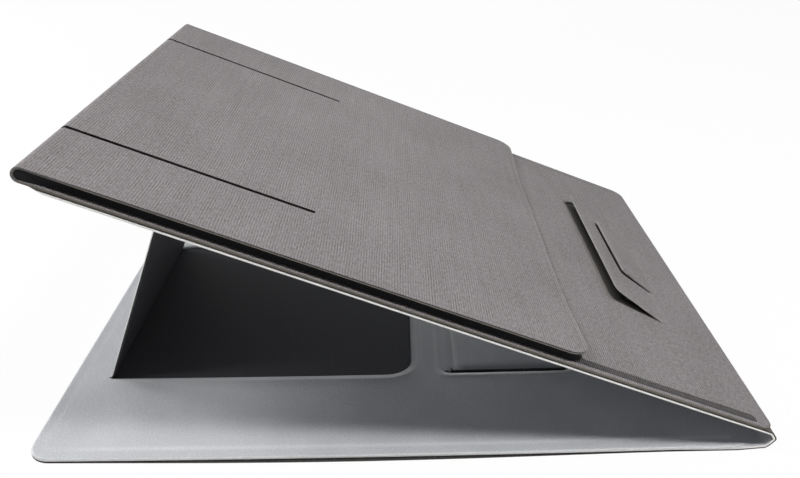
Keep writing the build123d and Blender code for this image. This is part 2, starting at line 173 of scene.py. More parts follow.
def shell(name, upper, lower, flat, finish, rim=None, keep=None, closed=False, rim_below=None):
    """A closed thin wall between two grids of points, with its UV map, rim attribute and finish."""
    count_u, count_v = upper.shape[:2]
    if keep is None:
        keep = np.ones((count_u if closed else count_u - 1, count_v - 1), bool)
    faces = cell_faces(count_u, count_v, keep, closed)
    points = np.concatenate([upper.reshape(-1, 3), lower.reshape(-1, 3)])
    first = points[faces[0]]
    normal = np.cross(first[2] - first[0], first[3] - first[1])
    if normal @ (points[faces[0, 0]] - points[faces[0, 0] + count_u * count_v]) < 0:
        faces = faces[:, ::-1]
    used, renumbered = np.unique(faces, return_inverse=True)
    faces = renumbered.reshape(faces.shape)
    grid_uv = np.tile(np.stack(flat, -1).reshape(-1, 2), (2, 1))[used]
    rim = np.zeros((count_u, count_v)) if rim is None else rim
    rim_below = rim if rim_below is None else rim_below
    grid_rim = np.concatenate([rim.ravel(), rim_below.ravel()])[used]
    return mesh_piece(name, points[used], faces, grid_uv, grid_rim, finish)


def mesh_piece(name, points, faces, uv, rim, finish):
    """Puts arrays of points and four-sided faces into a new object that sits at the origin."""
    mesh = bpy.data.meshes.new(name)
    mesh.vertices.add(len(points))
    mesh.vertices.foreach_set("co", points.astype(np.float32).ravel())
    mesh.loops.add(faces.size)
    mesh.loops.foreach_set("vertex_index", faces.astype(np.int32).ravel())
    mesh.polygons.add(len(faces))
    mesh.polygons.foreach_set("loop_start", np.arange(0, faces.size, 4, dtype=np.int32))
    mesh.update(calc_edges=True)
    layer = mesh.uv_layers.new(name="sheet")
    layer.uv.foreach_set("vector", uv[faces.ravel()].astype(np.float32).ravel())
    attribute = mesh.attributes.new("rim", "FLOAT", "POINT")
    attribute.data.foreach_set("value", rim.astype(np.float32))
    mesh.materials.append(finish)
    mesh.validate()
    mesh.shade_smooth()
    mesh.set_sharp_from_angle(angle=SHARP_ANGLE)
    piece = bpy.data.objects.new(name, mesh)
    bpy.context.scene.collection.objects.link(piece)
    print(name, len(points), "points")
    return piece

# %% [markdown]
# ## Distances shape the edges
# A rolled rim, a pressed line and a soft crease all depend on one thing: how far a point lies from
# an edge. So each outline gets a function that measures that distance, and the height of a sheet
# is a formula of it. Grid lines are packed close together near an edge, where the height changes.

# %% Outlines and heights
EDGE_STEPS = np.array([0, 0.08, 0.2, 0.4, 0.65, 1.0, 1.5, 2.2, 3.1, 4.2, 5.6, 7.4, 9.6]) * MM
CLOSEST = 0.03 * MM
ROUNDING = 1e-9


def lines(low, high, step, edges=(), steps=EDGE_STEPS):
    """Grid lines from low to high, about step apart, with close lines on both sides of each edge."""
    count = max(2, int(round((high - low) / step)) + 1)
    found = [np.linspace(low, high, count)]
    for edge in edges:
        found += [edge + steps, edge - steps]
    marks = np.concatenate(found)
    marks = np.sort(marks[(marks >= low - ROUNDING) & (marks <= high + ROUNDING)])
    spread = np.concatenate([[True], np.diff(marks) > CLOSEST])
    return marks[spread]


def inside(x, y, x0, x1, half, r0=0.0, r1=0.0, y_middle=0.0):
    """Distance inwards from a rectangle's outline, whose corners have radius r0 at x0 and r1 at x1."""
    radius = np.where(x < (x0 + x1) / 2, r0, r1)
    out_x = np.abs(x - (x0 + x1) / 2) - (x1 - x0) / 2 + radius
    out_y = np.abs(y - y_middle) - half + radius
    corner = np.hypot(np.maximum(out_x, 0), np.maximum(out_y, 0))
    return radius - corner - np.minimum(np.maximum(out_x, out_y), 0)


def rolled(distance, radius, drop):
    """How far a face falls towards an edge: a quarter round, radius wide and drop deep."""
    across = np.clip(1 - distance / radius, 0, 1)
    return drop * (1 - np.sqrt(1 - across**2))


def pressed(distance, at, width, depth):
    """A soft line at a distance from the edge: a smooth hump of that width and depth, to take off a
    height as a pressed line, to add to it as a ridge, or to tint by."""
    return depth * np.exp(-(((distance - at) / (width / 2)) ** 2))


def smooth(t):
    """Rises smoothly from 0 to 1 while t goes from 0 to 1."""
    t = np.clip(t, 0, 1)
    return t * t * (3 - 2 * t)


def rounded_line(points, radii):
    """A bent line whose corners are replaced by smooth curves of about the given radii."""
    points = np.array(points, float)
    share = np.linspace(0, 1, 12)[:, None]
    path = [points[:1]]
    for before, at, after, radius in zip(points[:-2], points[1:-1], points[2:], radii):
        a = (at - before) / np.hypot(*(at - before))
        b = (after - at) / np.hypot(*(after - at))
        reach = radius * math.tan(math.acos(np.clip(a @ b, -1, 1)) / 2)
        start, end = at - reach * a, at + reach * b
        path.append((1 - share) ** 2 * start + 2 * share * (1 - share) * at + share**2 * end)
    return np.concatenate([*path, points[-1:]])


def rim_of(distance, width=0.9 * MM):
    """1 at the cut edge, fading to 0 over a width."""
    return 1 - smooth(distance / width)


def corner_cut(y, half, radius):
    """How far a round corner draws a straight end back, at each y across a sheet."""
    over = np.clip(np.abs(y) - half + radius, 0, radius)
    return radius - np.sqrt(radius**2 - over**2)

# %% [markdown]
# ## Finishes
# The outside is a coated cloth pressed with a linen grain: fine threads that run across the stand,
# with uneven slubs and a weaker set that crosses them. Each set is a sine on the sheet's own UV map,
# in a real thread size, broken up by stretched noises. Their sum drives the colour and the bump
# together, and longer, fainter streaks lie over the colour.

# %% Node helpers
def new_finish(name):
    """An empty node material with its shader, ready for sockets to be set."""
    finish = bpy.data.materials.new(name)
    finish.use_nodes = True
    return finish, finish.node_tree.nodes, finish.node_tree.links, finish.node_tree.nodes["Principled BSDF"]


def noise_on(nodes, links, coordinates, size, detail=2.0, roughness=0.5):
    """Noise whose grains measure size metres along each axis of the coordinates."""
    mapping = nodes.new("ShaderNodeMapping")
    mapping.inputs["Scale"].default_value = [1 / s for s in size]
    links.new(coordinates, mapping.inputs["Vector"])
    noise = nodes.new("ShaderNodeTexNoise")
    noise.inputs["Scale"].default_value = 1.0
    noise.inputs["Detail"].default_value = detail
    noise.inputs["Roughness"].default_value = roughness
    links.new(mapping.outputs["Vector"], noise.inputs["Vector"])
    return noise.outputs["Fac"]


def combine(nodes, links, operation, first, second):
    """One Math node on two sockets, or on a socket and a number."""
    node = nodes.new("ShaderNodeMath")
    node.operation = operation
    for socket, value in zip(node.inputs, (first, second)):
        if isinstance(value, (int, float)):
            socket.default_value = value
        else:
            links.new(value, socket)
    return node.outputs["Value"]


def weighted(nodes, links, parts):
    """The sum of some sockets, each times its own weight."""
    scaled = [combine(nodes, links, "MULTIPLY", socket, weight) for socket, weight in parts]
    total = scaled[0]
    for part in scaled[1:]:
        total = combine(nodes, links, "ADD", total, part)
    return total


def ramp(nodes, links, factor, stops):
    """A colour ramp with stops of (place, colour)."""
    node = nodes.new("ShaderNodeValToRGB")
    while len(node.color_ramp.elements) < len(stops):
        node.color_ramp.elements.new(0.5)
    for element, (at, colour) in zip(node.color_ramp.elements, stops):
        element.position = at
        element.color = (*colour, 1.0)
    links.new(factor, node.inputs["Fac"])
    return node.outputs["Color"]


def ranged(nodes, links, factor, low, high):
    """A factor from 0 to 1 moved to the range from low to high."""
    node = nodes.new("ShaderNodeMapRange")
    node.inputs["To Min"].default_value = low
    node.inputs["To Max"].default_value = high
    links.new(factor, node.inputs["Value"])
    return node.outputs["Result"]


def tinted(nodes, links, factor, colour, other):
    """Mixes a colour socket with one plain colour by a factor."""
    node = nodes.new("ShaderNodeMix")
    node.data_type = "RGBA"
    links.new(factor, node.inputs[0])
    links.new(colour, node.inputs[6])
    node.inputs[7].default_value = (*other, 1.0)
    return node.outputs[2]


def bumped(nodes, links, shader, height, distance, strength):
    """Bump on the shader's normal, from a height socket."""
    node = nodes.new("ShaderNodeBump")
    node.inputs["Distance"].default_value = distance
    node.inputs["Strength"].default_value = strength
    links.new(height, node.inputs["Height"])
    links.new(node.outputs["Normal"], shader.inputs["Normal"])


def sheet_uv(nodes):
    """The sheet's own flat coordinates, in metres."""
    node = nodes.new("ShaderNodeUVMap")
    node.uv_map = "sheet"
    return node.outputs["UV"]


def object_place(nodes):
    """Object coordinates, which are the frame's metres on every piece."""
    return nodes.new("ShaderNodeTexCoord").outputs["Object"]


def rim_factor(nodes):
    """The rim attribute of a sheet."""
    node = nodes.new("ShaderNodeAttribute")
    node.attribute_name = "rim"
    return node.outputs["Fac"]

# %% Linen-grained skin
def split(nodes, links, vector, axis):
    """One axis of a vector socket."""
    node = nodes.new("ShaderNodeSeparateXYZ")
    links.new(vector, node.inputs["Vector"])
    return node.outputs[axis]


THREAD_PITCH = 1.2 * MM
THREAD_SLUB = 2.6 * MM
CROSS_PITCH = 1.0 * MM
CROSS_SLUB = 2.0 * MM
THREAD_DRIFT = 8.0
SLUB_SHARE = 0.9
STREAK_WIDTH = 3.2 * MM
STREAK_LENGTH = 45 * MM
# Paler linen that paints light where the rim is below 0.
PAINTED_LIGHT_LINEN = (0.43, 0.405, 0.4)
LINEN_DARK = (0.125, 0.116, 0.117)
LINEN_LIGHT = (0.36, 0.336, 0.34)
LINEN_SPECKLE = (0.5 * MM, 0.7 * MM, 1)
LINEN_CLOUD = (40 * MM, 60 * MM, 1)
LINEN_RELIEF = 0.3 * MM
DRIFT_WIDTH = 14 * MM
DRIFT_LENGTH = 30 * MM
PATCH_LENGTH = 14 * MM


def thread_set(nodes, links, uv, axis, pitch, slub_length):
    """Threads side by side along one axis of the sheet: an uneven sine that is weak and strong in
    patches, and broken into slubs along each thread."""
    def sized(across, along):
        return (across, along, 1) if axis == "X" else (along, across, 1)

    drift = noise_on(nodes, links, uv, sized(DRIFT_WIDTH, DRIFT_LENGTH), detail=2.0)
    patch = noise_on(nodes, links, uv, sized(4 * pitch, PATCH_LENGTH), detail=2.0)
    slub = noise_on(nodes, links, uv, sized(0.55 * pitch, slub_length), detail=2.0)
    across = split(nodes, links, uv, axis)
    turns = weighted(nodes, links, [(across, 2 * math.pi / pitch), (drift, THREAD_DRIFT)])
    wave = combine(nodes, links, "SINE", turns, 0.0)
    wave = combine(nodes, links, "MULTIPLY", wave, ranged(nodes, links, patch, -0.2, 0.5))
    return weighted(nodes, links, [(wave, 1.0), (slub, SLUB_SHARE)])


def linen_finish(name, dark, light, edge, specular=0.12):
    """Coated cloth with a linen grain. A rim above 0 shows its cut edge, or paints shade or a highlight in
    the edge colour; one below 0 paints light.
    """
    finish, nodes, links, shader = new_finish(name)
    uv = sheet_uv(nodes)
    across = thread_set(nodes, links, uv, "X", THREAD_PITCH, THREAD_SLUB)
    along = thread_set(nodes, links, uv, "Y", CROSS_PITCH, CROSS_SLUB)
    speckle = noise_on(nodes, links, uv, LINEN_SPECKLE, detail=1.0)
    cloudy = noise_on(nodes, links, uv, LINEN_CLOUD, detail=3.0)
    threads = weighted(nodes, links, [(across, 0.45), (along, 0.35), (speckle, 0.25)])
    streaks = noise_on(nodes, links, uv, (STREAK_WIDTH, STREAK_LENGTH, 1), detail=3.0)
    cross_streaks = noise_on(nodes, links, uv, (STREAK_LENGTH, STREAK_WIDTH, 1), detail=3.0)
    layers = [(threads, 1.0), (cloudy, 0.12), (streaks, 0.11), (cross_streaks, 0.07)]
    shade = weighted(nodes, links, layers)
    colour = ramp(nodes, links, shade, [(0.45, dark), (0.82, light)])
    rim = rim_factor(nodes)
    colour = tinted(nodes, links, combine(nodes, links, "MULTIPLY", rim, -1.0), colour, PAINTED_LIGHT_LINEN)
    links.new(tinted(nodes, links, rim, colour, edge), shader.inputs["Base Color"])
    links.new(ranged(nodes, links, threads, 0.78, 0.6), shader.inputs["Roughness"])
    shader.inputs["Specular IOR Level"].default_value = specular
    bumped(nodes, links, shader, threads, LINEN_RELIEF, 0.5)
    return finish


# The brown edge colour shows at cut edges, and also as painted shadow round the stop tab's hole.
LINEN = linen_finish("linen_skin", LINEN_DARK, LINEN_LIGHT, (0.135, 0.122, 0.1))
# The pocket's near-black edge colour shows at cut edges and paints shade in its pressed hem line.
POCKET_LINEN = linen_finish("pocket_linen", LINEN_DARK, LINEN_LIGHT, (0.015, 0.0135, 0.0115))
# The tab's light edge colour is a painted highlight along its edges.
TAB_LINEN = linen_finish("tab_linen", LINEN_DARK, LINEN_LIGHT, (0.37, 0.35, 0.345))
# The backing's near-black edge colour shows at cut edges and paints shade under the lifted stop tab.
BACKING = linen_finish(
    "backing_skin", (0.105, 0.098, 0.09), (0.2, 0.19, 0.175), (0.007, 0.007, 0.0075), specular=0.02
)

# %% [markdown]
# The lining is a soft coated sheet with a very fine leather grain and faint clouds. Where it is cut,
# its white core shows as a bright line, so a rim above 0 turns it white; on ridges the same white is
# a painted highlight. A rim below 0 darkens it with painted shade, at the foot of a slope that lies
# in shade.

# %% Pale lining
LINING_CLOUD = (26 * MM, 34 * MM, 1)
LINING_GRAIN = (0.9 * MM, 0.9 * MM, 1)
LINING_CREASE = (2.6 * MM, 3.8 * MM, 1)
LINING_RELIEF = 0.36 * MM


def lining_finish(name, low, high, core_and_highlight, hollow):
    """Soft pale sheet with a fine grain. A rim above 0 shows its white core or paints a highlight in it, one
    below 0 paints shade in the hollow colour.
    """
    finish, nodes, links, shader = new_finish(name)
    uv = sheet_uv(nodes)
    cloudy = noise_on(nodes, links, uv, LINING_CLOUD, detail=5.0, roughness=0.6)
    grain = noise_on(nodes, links, uv, LINING_GRAIN, detail=3.0)
    creased = noise_on(nodes, links, uv, LINING_CREASE, detail=4.0, roughness=0.65)
    shade = weighted(nodes, links, [(cloudy, 0.35), (grain, 0.65)])
    colour = ramp(nodes, links, shade, [(0.33, low), (0.67, high)])
    rim = rim_factor(nodes)
    colour = tinted(nodes, links, combine(nodes, links, "MULTIPLY", rim, -1.0), colour, hollow)
    links.new(tinted(nodes, links, rim, colour, core_and_highlight), shader.inputs["Base Color"])
    links.new(ranged(nodes, links, grain, 0.5, 0.36), shader.inputs["Roughness"])
    shader.inputs["Specular IOR Level"].default_value = 0.4
    relief = weighted(nodes, links, [(creased, 1.0), (grain, 0.5)])
    bumped(nodes, links, shader, relief, LINING_RELIEF, 0.6)
    return finish


# The third colour is the white core, also used for painted highlights; the last is painted shade.
PALE = lining_finish(
    "pale_lining", (0.41, 0.42, 0.445), (0.555, 0.565, 0.585), (0.97, 0.955, 0.92), (0.12, 0.12, 0.13)
)

# %% Black skin, elastic and inner pieces
def grained_finish(name, low, high, grain, roughness, depth, specular=0.4, metallic=0.0):
    """A plain material with a grain of that size on Object coordinates, for inner and black sheets."""
    finish, nodes, links, shader = new_finish(name)
    spots = noise_on(nodes, links, object_place(nodes), grain, detail=4.0)
    links.new(ramp(nodes, links, spots, [(0.3, low), (0.7, high)]), shader.inputs["Base Color"])
    links.new(ranged(nodes, links, spots, *roughness), shader.inputs["Roughness"])
    shader.inputs["Specular IOR Level"].default_value = specular
    shader.inputs["Metallic"].default_value = metallic
    bumped(nodes, links, shader, spots, depth, 0.4)
    return finish


FINE = (0.8 * MM,) * 3
BLACK = grained_finish(
    "black_skin", (0.047, 0.047, 0.052), (0.074, 0.074, 0.081), FINE, (0.75, 0.6), 0.06 * MM, 0.12
)
FIBRES = (1.5 * MM, 4 * MM, 0.5 * MM)
BOARD = grained_finish(
    "greyboard", (0.022, 0.022, 0.022), (0.04, 0.04, 0.042), FIBRES, (0.9, 0.75), 0.1 * MM, 0.2
)
POCKET_CLOTH = lining_finish(
    "pocket_lining", (0.016, 0.016, 0.018), (0.03, 0.029, 0.031), (0.27, 0.25, 0.215), (0.01, 0.01, 0.01)
)
BRUSHED = (6 * MM, 0.4 * MM, 1 * MM)
STEEL = grained_finish(
    "keeper_steel", (0.42, 0.42, 0.43), (0.55, 0.55, 0.56), BRUSHED, (0.42, 0.3), 0.02 * MM, 0.5, 1.0
)
PLATED = (2 * MM,) * 3
NICKEL = grained_finish(
    "magnet", (0.5, 0.49, 0.47), (0.62, 0.61, 0.58), PLATED, (0.34, 0.24), 0.02 * MM, 0.5, 1.0
)
YARN_RELIEF = 0.12 * MM


def ribbed_finish(name, low, high, pitch):
    """Knitted elastic: yarn flecks on ribs that are dark in the valleys between them."""
    finish, nodes, links, shader = new_finish(name)
    uv = sheet_uv(nodes)
    yarn = noise_on(nodes, links, uv, (pitch / 2, pitch, 1), detail=3.0)
    worn = noise_on(nodes, links, uv, (4 * pitch, 1.5 * pitch, 1), detail=2.0)
    turns = combine(nodes, links, "MULTIPLY", split(nodes, links, uv, "X"), math.pi / pitch)
    rib = combine(nodes, links, "ABSOLUTE", combine(nodes, links, "SINE", turns, 0.0), 0.0)
    shade = weighted(nodes, links, [(yarn, 0.2), (rib, 0.6), (worn, 0.4)])
    colour = ramp(nodes, links, shade, [(0.4, low), (0.9, high)])
    border = weighted(nodes, links, [(rim_factor(nodes), 2.2), (rib, -1.2)])
    scalloped = ranged(nodes, links, border, 0.0, 1.0)
    links.new(tinted(nodes, links, scalloped, colour, low), shader.inputs["Base Color"])
    links.new(ranged(nodes, links, yarn, 0.95, 0.8), shader.inputs["Roughness"])
    shader.inputs["Specular IOR Level"].default_value = 0.2
    shader.inputs["Sheen Weight"].default_value = 0.08
    shader.inputs["Sheen Roughness"].default_value = 0.5
    bumped(nodes, links, shader, yarn, YARN_RELIEF, 0.5)
    return finish


RIB_PITCH = 1.05 * MM
ELASTIC = ribbed_finish("elastic", (0.004, 0.004, 0.005), (0.009, 0.009, 0.011), RIB_PITCH)
BAND = ribbed_finish("ribbed_band", (0.006, 0.0055, 0.0055), (0.126, 0.118, 0.117), RIB_PITCH)
FAR_BAND = ribbed_finish("ribbed_band_far", (0.14, 0.132, 0.13), (0.27, 0.255, 0.255), RIB_PITCH)
print("finishes:", len(bpy.data.materials))

# %% [markdown]
# ## The outer skin
# One strip of linen-grained skin covers the underside of the base, turns round the spine and backs
# the leaf. It is a profile in the XZ plane carried across the stand: a straight run, a creased turn
# round the spine and a second straight run. The same profile function also makes the lining inside
# it, drawn a little further in.

# %% Sheets that turn round the spine
BEVEL_FLAT_X = -324.0 * MM
BEVEL_RISE = 6.5 / 1.4
BASE_CORNER_R = 11 * MM
RAMP_X = 152.7 * MM
RAMP_END_X = 160.7 * MM
CURL_X = 153.0 * MM
CURL = 0.084
NOSE = np.array([170.8, 5.7]) * MM
NOSE_BELOW = (0.7466, -0.6655)
NOSE_ABOVE = (0.866, 0.5)
SPINE_LINES = [
    ((0.0, -1.0), (0.0, 0.0)),
    ((CURL, -math.sqrt(1 - CURL**2)), (CURL_X, 0.0)),
    (NOSE_BELOW, NOSE),
    (NOSE_ABOVE, NOSE),
    (SQUARE[[0, 2]], SPINE[[0, 2]] + SPINE_R * SQUARE[[0, 2]]),
]
SPINE_ROUNDS = np.array([30.0, 4.0, 1.7, 3.0]) * MM
TURN_REACH = 4 * MM


def bevel_x(h):
    """Where a sheet at height h on the leaf's underside ends, on the bevel that tapers to the high end."""
    return BEVEL_FLAT_X - BEVEL_RISE * (h - LINING_H)


def uphill_x(stops, h):
    """x on the leaf for stops from 0, where the turn round the spine ends, to 1, on the bevel."""
    return stops * (bevel_x(h) + TURN_REACH) - TURN_REACH


def spine_corners(depth):
    """Where the four straight runs of a sheet meet, for a sheet that lies depth inside the outer face."""
    normals = np.array([normal for normal, _ in SPINE_LINES])
    reach = np.array([np.dot(normal, point) for normal, point in SPINE_LINES]) - depth
    return [np.linalg.solve(normals[k:k + 2], reach[k:k + 2]) for k in range(4)]


def spine_profile(base_x, base_h, radius, leaf_stops, first=0):
    """Points (x, z) of a sheet: base run, creased turn round the spine from its first corner, leaf run."""
    depth = SPINE_R - radius
    start = np.array([base_x[-1], base_h[-1]])
    end = SPINE[[0, 2]] + radius * SQUARE[[0, 2]] - TURN_REACH * DOWNHILL[[0, 2]]
    turn = rounded_line([start, *spine_corners(depth)[first:], end], (SPINE_ROUNDS - depth)[first:])
    uphill = uphill_x(leaf_stops, radius)
    run = SPINE[[0, 2]] + uphill[:, None] * DOWNHILL[[0, 2]] + radius * SQUARE[[0, 2]]
    return np.concatenate([np.stack([base_x, base_h], -1), turn[1:], run[1:]])


def across_stand(profile, y):
    """A profile of (x, z) points carried across the stand."""
    points = np.zeros((len(profile), len(y), 3))
    points[..., 0] = profile[:, None, 0]
    points[..., 1] = y
    points[..., 2] = profile[:, None, 1]
    return points


def profile_length(profile):
    """Length along a profile from its first point."""
    return np.concatenate([[0], np.cumsum(np.hypot(*np.diff(profile, axis=0).T))])

# %% [markdown]
# The stop tab is cut out of the leaf's top, and the outer skin shows through the hole that it leaves.
# The rim value paints shade on the skin under the lifted tab, and paints light on it beside the hole's
# edge, where light falls in. So the hole is measured here, before the skin is made.

# %% The stop tab's hole
TAB_HINGE_X = -29.4 * MM
TAB_MIDDLE_Y = 7.5 * MM
TAB_GAP = 0.6 * MM
TAB_DEPTH = 28.5 * MM
TAB_HINGE_HALF = 74.5 * MM
TAB_FREE_HALF = 65.5 * MM
HOLE_LOW_X = TAB_HINGE_X + TAB_GAP
HOLE_HIGH_X = HOLE_LOW_X - TAB_DEPTH - 2 * TAB_GAP
# Painted shade under the lifted tab and painted light beside the hole's edge, on the outer skin.
SHADE_REACH = 12 * MM
SHADE_END = 11 * MM
SHADE_FADE = 3 * MM
HOLE_PAINTED_LIGHT = 0.5
PAINTED_LIGHT_REACH = 6 * MM
# Painted shadow of the lifted tab on the leaf's skin round the hole.
HOLE_PAINTED_SHADOW = 0.8
PAINTED_SHADOW_REACH = 2.2 * MM
PAINTED_SHADOW_FADE = 3 * MM


def hole_depth(x, y):
    """Distance inwards from the free sides of the stop tab's hole, below 0 outside it."""
    share = (HOLE_LOW_X - x) / (HOLE_LOW_X - HOLE_HIGH_X)
    half = TAB_HINGE_HALF + TAB_GAP + share * (TAB_FREE_HALF - TAB_HINGE_HALF)
    return np.minimum(x - HOLE_HIGH_X, half - np.abs(y - TAB_MIDDLE_Y))


print("stop tab's hole:", round((HOLE_LOW_X - HOLE_HIGH_X) / MM, 1), "mm deep")

# %% [markdown]
# The base isn't quite straight, because it is soft. Its near side bulges a little at the middle, and
# the outer skin turns up round its edges and stands out there as a thin lip.

# %% The base's edges
TURNED_UP = 0.35 * MM
TURNED_FADE = 30 * MM
BOW = 1.2 * MM
BOW_X = -25 * MM
BOW_REACH = 150 * MM
BOW_SIDE = 60 * MM
LIP = 1.6 * MM


def bow_share(x):
    """1 at the middle of the base and 0 at its two ends."""
    return np.maximum(1 - ((x - BOW_X) / BOW_REACH) ** 2, 0)


def bowed(x, y):
    """The near side of the base bulges a little, most at its middle."""
    return y - BOW * bow_share(x) * smooth(-y / BOW_SIDE)


def base_edge(x, y):
    """Distance inwards from the outline of the base, which is open towards the spine."""
    return np.maximum(inside(x, y, LEFT, 2 * HALF, HALF, BASE_CORNER_R), 0)


def turned_up(x, y):
    """How far the outer skin turns up round the edge of the base. It fades out before the spine."""
    return TURNED_UP * rim_of(base_edge(x, y)) * smooth((RAMP_X - x) / TURNED_FADE)

# %% The outer skin's sheet
CURL_START = 3 * MM
HOLE_LINES_IN = 6 * MM
HOLE_LINES_OUT = 1 * MM
SKIN_CUT = 0.55
SKIN_CUT_WIDTH = 0.4 * MM
hole_stops = (np.linspace(HOLE_HIGH_X, HOLE_LOW_X, 24) + TURN_REACH) / (bevel_x(SPINE_R) + TURN_REACH)
hole_y = TAB_MIDDLE_Y + np.linspace(TAB_FREE_HALF - HOLE_LINES_IN, TAB_HINGE_HALF + HOLE_LINES_OUT, 16)
LEAF_STOPS = lines(0, 1, 0.04, [1.0], np.array([0.0, 0.002, 0.006, 0.015]))
LEAF_STOPS = np.sort(np.concatenate([LEAF_STOPS, hole_stops]))
WIDE_Y = lines(-HALF, HALF, 7 * MM, [-HALF, HALF])
WIDE_Y = np.sort(np.concatenate([WIDE_Y, hole_y, 2 * TAB_MIDDLE_Y - hole_y]))

skin_x = lines(LEFT, CURL_X - CURL_START, 8 * MM, [LEFT])
skin_outer = spine_profile(skin_x, np.zeros_like(skin_x), SPINE_R, LEAF_STOPS)
skin_inner = spine_profile(skin_x, np.full_like(skin_x, SKIN), BACKING_H, LEAF_STOPS)
outer_points = across_stand(skin_outer, WIDE_Y)
inner_points = across_stand(skin_inner, WIDE_Y)
corner_in = corner_cut(WIDE_Y, HALF, BASE_CORNER_R)
shift_share = np.clip((SPINE[0] - skin_outer[:, 0]) / (SPINE[0] - LEFT), 0, 1)
shift_share[len(skin_x):] = 0
for points in (outer_points, inner_points):
    points[..., 0] += shift_share[:, None] * corner_in
base_rows = slice(0, len(skin_x))
run_x, run_y = inner_points[base_rows, :, 0].copy(), inner_points[base_rows, :, 1].copy()
run_edge = HALF - np.abs(run_y)
inner_points[base_rows, :, 2] += turned_up(run_x, run_y)
inner_points[base_rows, :, 1] = bowed(run_x, run_y)
skin_lip = np.sign(run_y) * LIP * bow_share(run_x) ** 2 * rim_of(run_edge)
outer_points[base_rows, :, 1] = bowed(run_x, run_y) + skin_lip
skin_length = profile_length(skin_outer)
skin_edge = (HALF - np.abs(WIDE_Y))[None, :] + np.zeros((len(skin_outer), 1))
skin_flat = np.broadcast_arrays(skin_length[:, None], WIDE_Y[None, :])
skin_rim = SKIN_CUT * rim_of(skin_edge, SKIN_CUT_WIDTH)
leaf_rows = slice(1 - len(LEAF_STOPS), None)
leaf_run_x = uphill_x(LEAF_STOPS, SPINE_R)[1:, None]
depth = hole_depth(leaf_run_x, WIDE_Y[None, :])
# Painted shade under the lifted tab, then painted light beside the hole's edge.
hole_shade = smooth(depth / SHADE_REACH) * rim_of(depth - SHADE_END, SHADE_FADE)
skin_rim[leaf_rows] = np.maximum(skin_rim[leaf_rows], hole_shade)
skin_rim[leaf_rows] -= HOLE_PAINTED_LIGHT * rim_of(np.abs(depth), PAINTED_LIGHT_REACH)
outer_skin = shell(
    "outer_skin", outer_points, inner_points, skin_flat, BACKING, skin_rim, rim_below=np.ones_like(skin_rim)
)
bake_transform(outer_skin)
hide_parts("base_cover", "spine_cover", "leaf_backing")
print("outer skin, flat:", round(skin_length[-1] / MM, 1), "mm long")

# %% [markdown]
# The lining comes down a soft ramp from the base board to the skin, follows it round the inside of
# the spine, and lines the leaf's underside. Its cut edges stand out a little past the leaf's sides
# and show the white core.

# %% Lining of the spine and the leaf
RIM_SWELL = 0.05 * MM
OVERHANG = 0.5 * MM
SWELL_WIDTH = 3 * MM
OVERHANG_WIDTH = 2 * MM
CUT_ROLL = (0.35 * MM, 0.3 * MM)
RAMP_ROLL = (1.7 * MM, 1.1 * MM)
RAMP_FOOT = 0.9 * MM
CORE_WIDTH = 0.3 * MM
BASE_CUT = 0.4
BASE_CUT_WIDTH = 0.7 * MM

ramp_x = np.linspace(RAMP_X, RAMP_END_X, 25)
ramp_drop = (BASE_TOP - SKIN - LINING) * smooth((ramp_x - RAMP_X) / (RAMP_END_X - RAMP_X))
ramp_lift = CURL * np.maximum(ramp_x - CURL_X, 0)
lining_upper = spine_profile(ramp_x, BASE_TOP - ramp_drop + ramp_lift, LINING_H, LEAF_STOPS, 1)
lining_lower = spine_profile(ramp_x, SKIN + ramp_lift, BACKING_H, LEAF_STOPS, 1)
upper_points = across_stand(lining_upper, WIDE_Y)
lower_points = across_stand(lining_lower, WIDE_Y)
edge_gap = HALF - np.abs(WIDE_Y)
on_leaf_run = np.zeros(len(lining_upper))
on_leaf_run[-len(LEAF_STOPS) + 1:] = 1
swell = RIM_SWELL * rim_of(edge_gap, SWELL_WIDTH) - rolled(edge_gap, *CUT_ROLL)
upper_points -= (on_leaf_run[:, None] * swell)[..., None] * SQUARE
for points in (upper_points, lower_points):
    points[..., 1] += on_leaf_run[:, None] * np.sign(WIDE_Y) * OVERHANG * rim_of(edge_gap, OVERHANG_WIDTH)
ramp_roll = (BASE_TOP - ramp_drop - RAMP_FOOT) / (BASE_TOP - RAMP_FOOT)
upper_points[:len(ramp_x), :, 2] -= ramp_roll[:, None] * rolled(edge_gap, *RAMP_ROLL)
lining_edge = edge_gap[None, :] + np.zeros((len(lining_upper), 1))
lining_flat = np.broadcast_arrays(RAMP_X + profile_length(lining_upper)[:, None], WIDE_Y[None, :])
turn_share = np.ones(len(lining_upper))
turn_share[:len(ramp_x)] = np.linspace(BASE_CUT, 1, len(ramp_x))
leaf_lining = shell(
    "leaf_lining_sheet",
    upper_points,
    lower_points,
    lining_flat,
    PALE,
    turn_share[:, None] * rim_of(lining_edge, CORE_WIDTH),
)
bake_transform(leaf_lining)
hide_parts("spine_lining", "leaf_lining")

# %% [markdown]
# ## The base lining
# The lining of the base is one sheet with two windows, where the props were cut out. A flat grid
# can't follow a round-cornered hole, so each window gets a ring: one loop of points on the outside,
# one on the window's edge, and rows between them. The two rings meet in the strip between the
# windows. The height is the same formula everywhere: a rolled rim, a pressed line beside it, and a
# softer roll into each window.

# %% Rings round the windows
CORNER_POINTS = 13
LEAST_R = 0.2 * MM
RIM_STEPS = np.array([0, 0.08, 0.2, 0.4, 0.65, 1.0, 1.5, 2.2, 3.0, 3.7, 4.4, 5.2, 6.2]) * MM
BASE_STEPS = np.append(RIM_STEPS, [7.0 * MM, 8.0 * MM, 9.5 * MM])


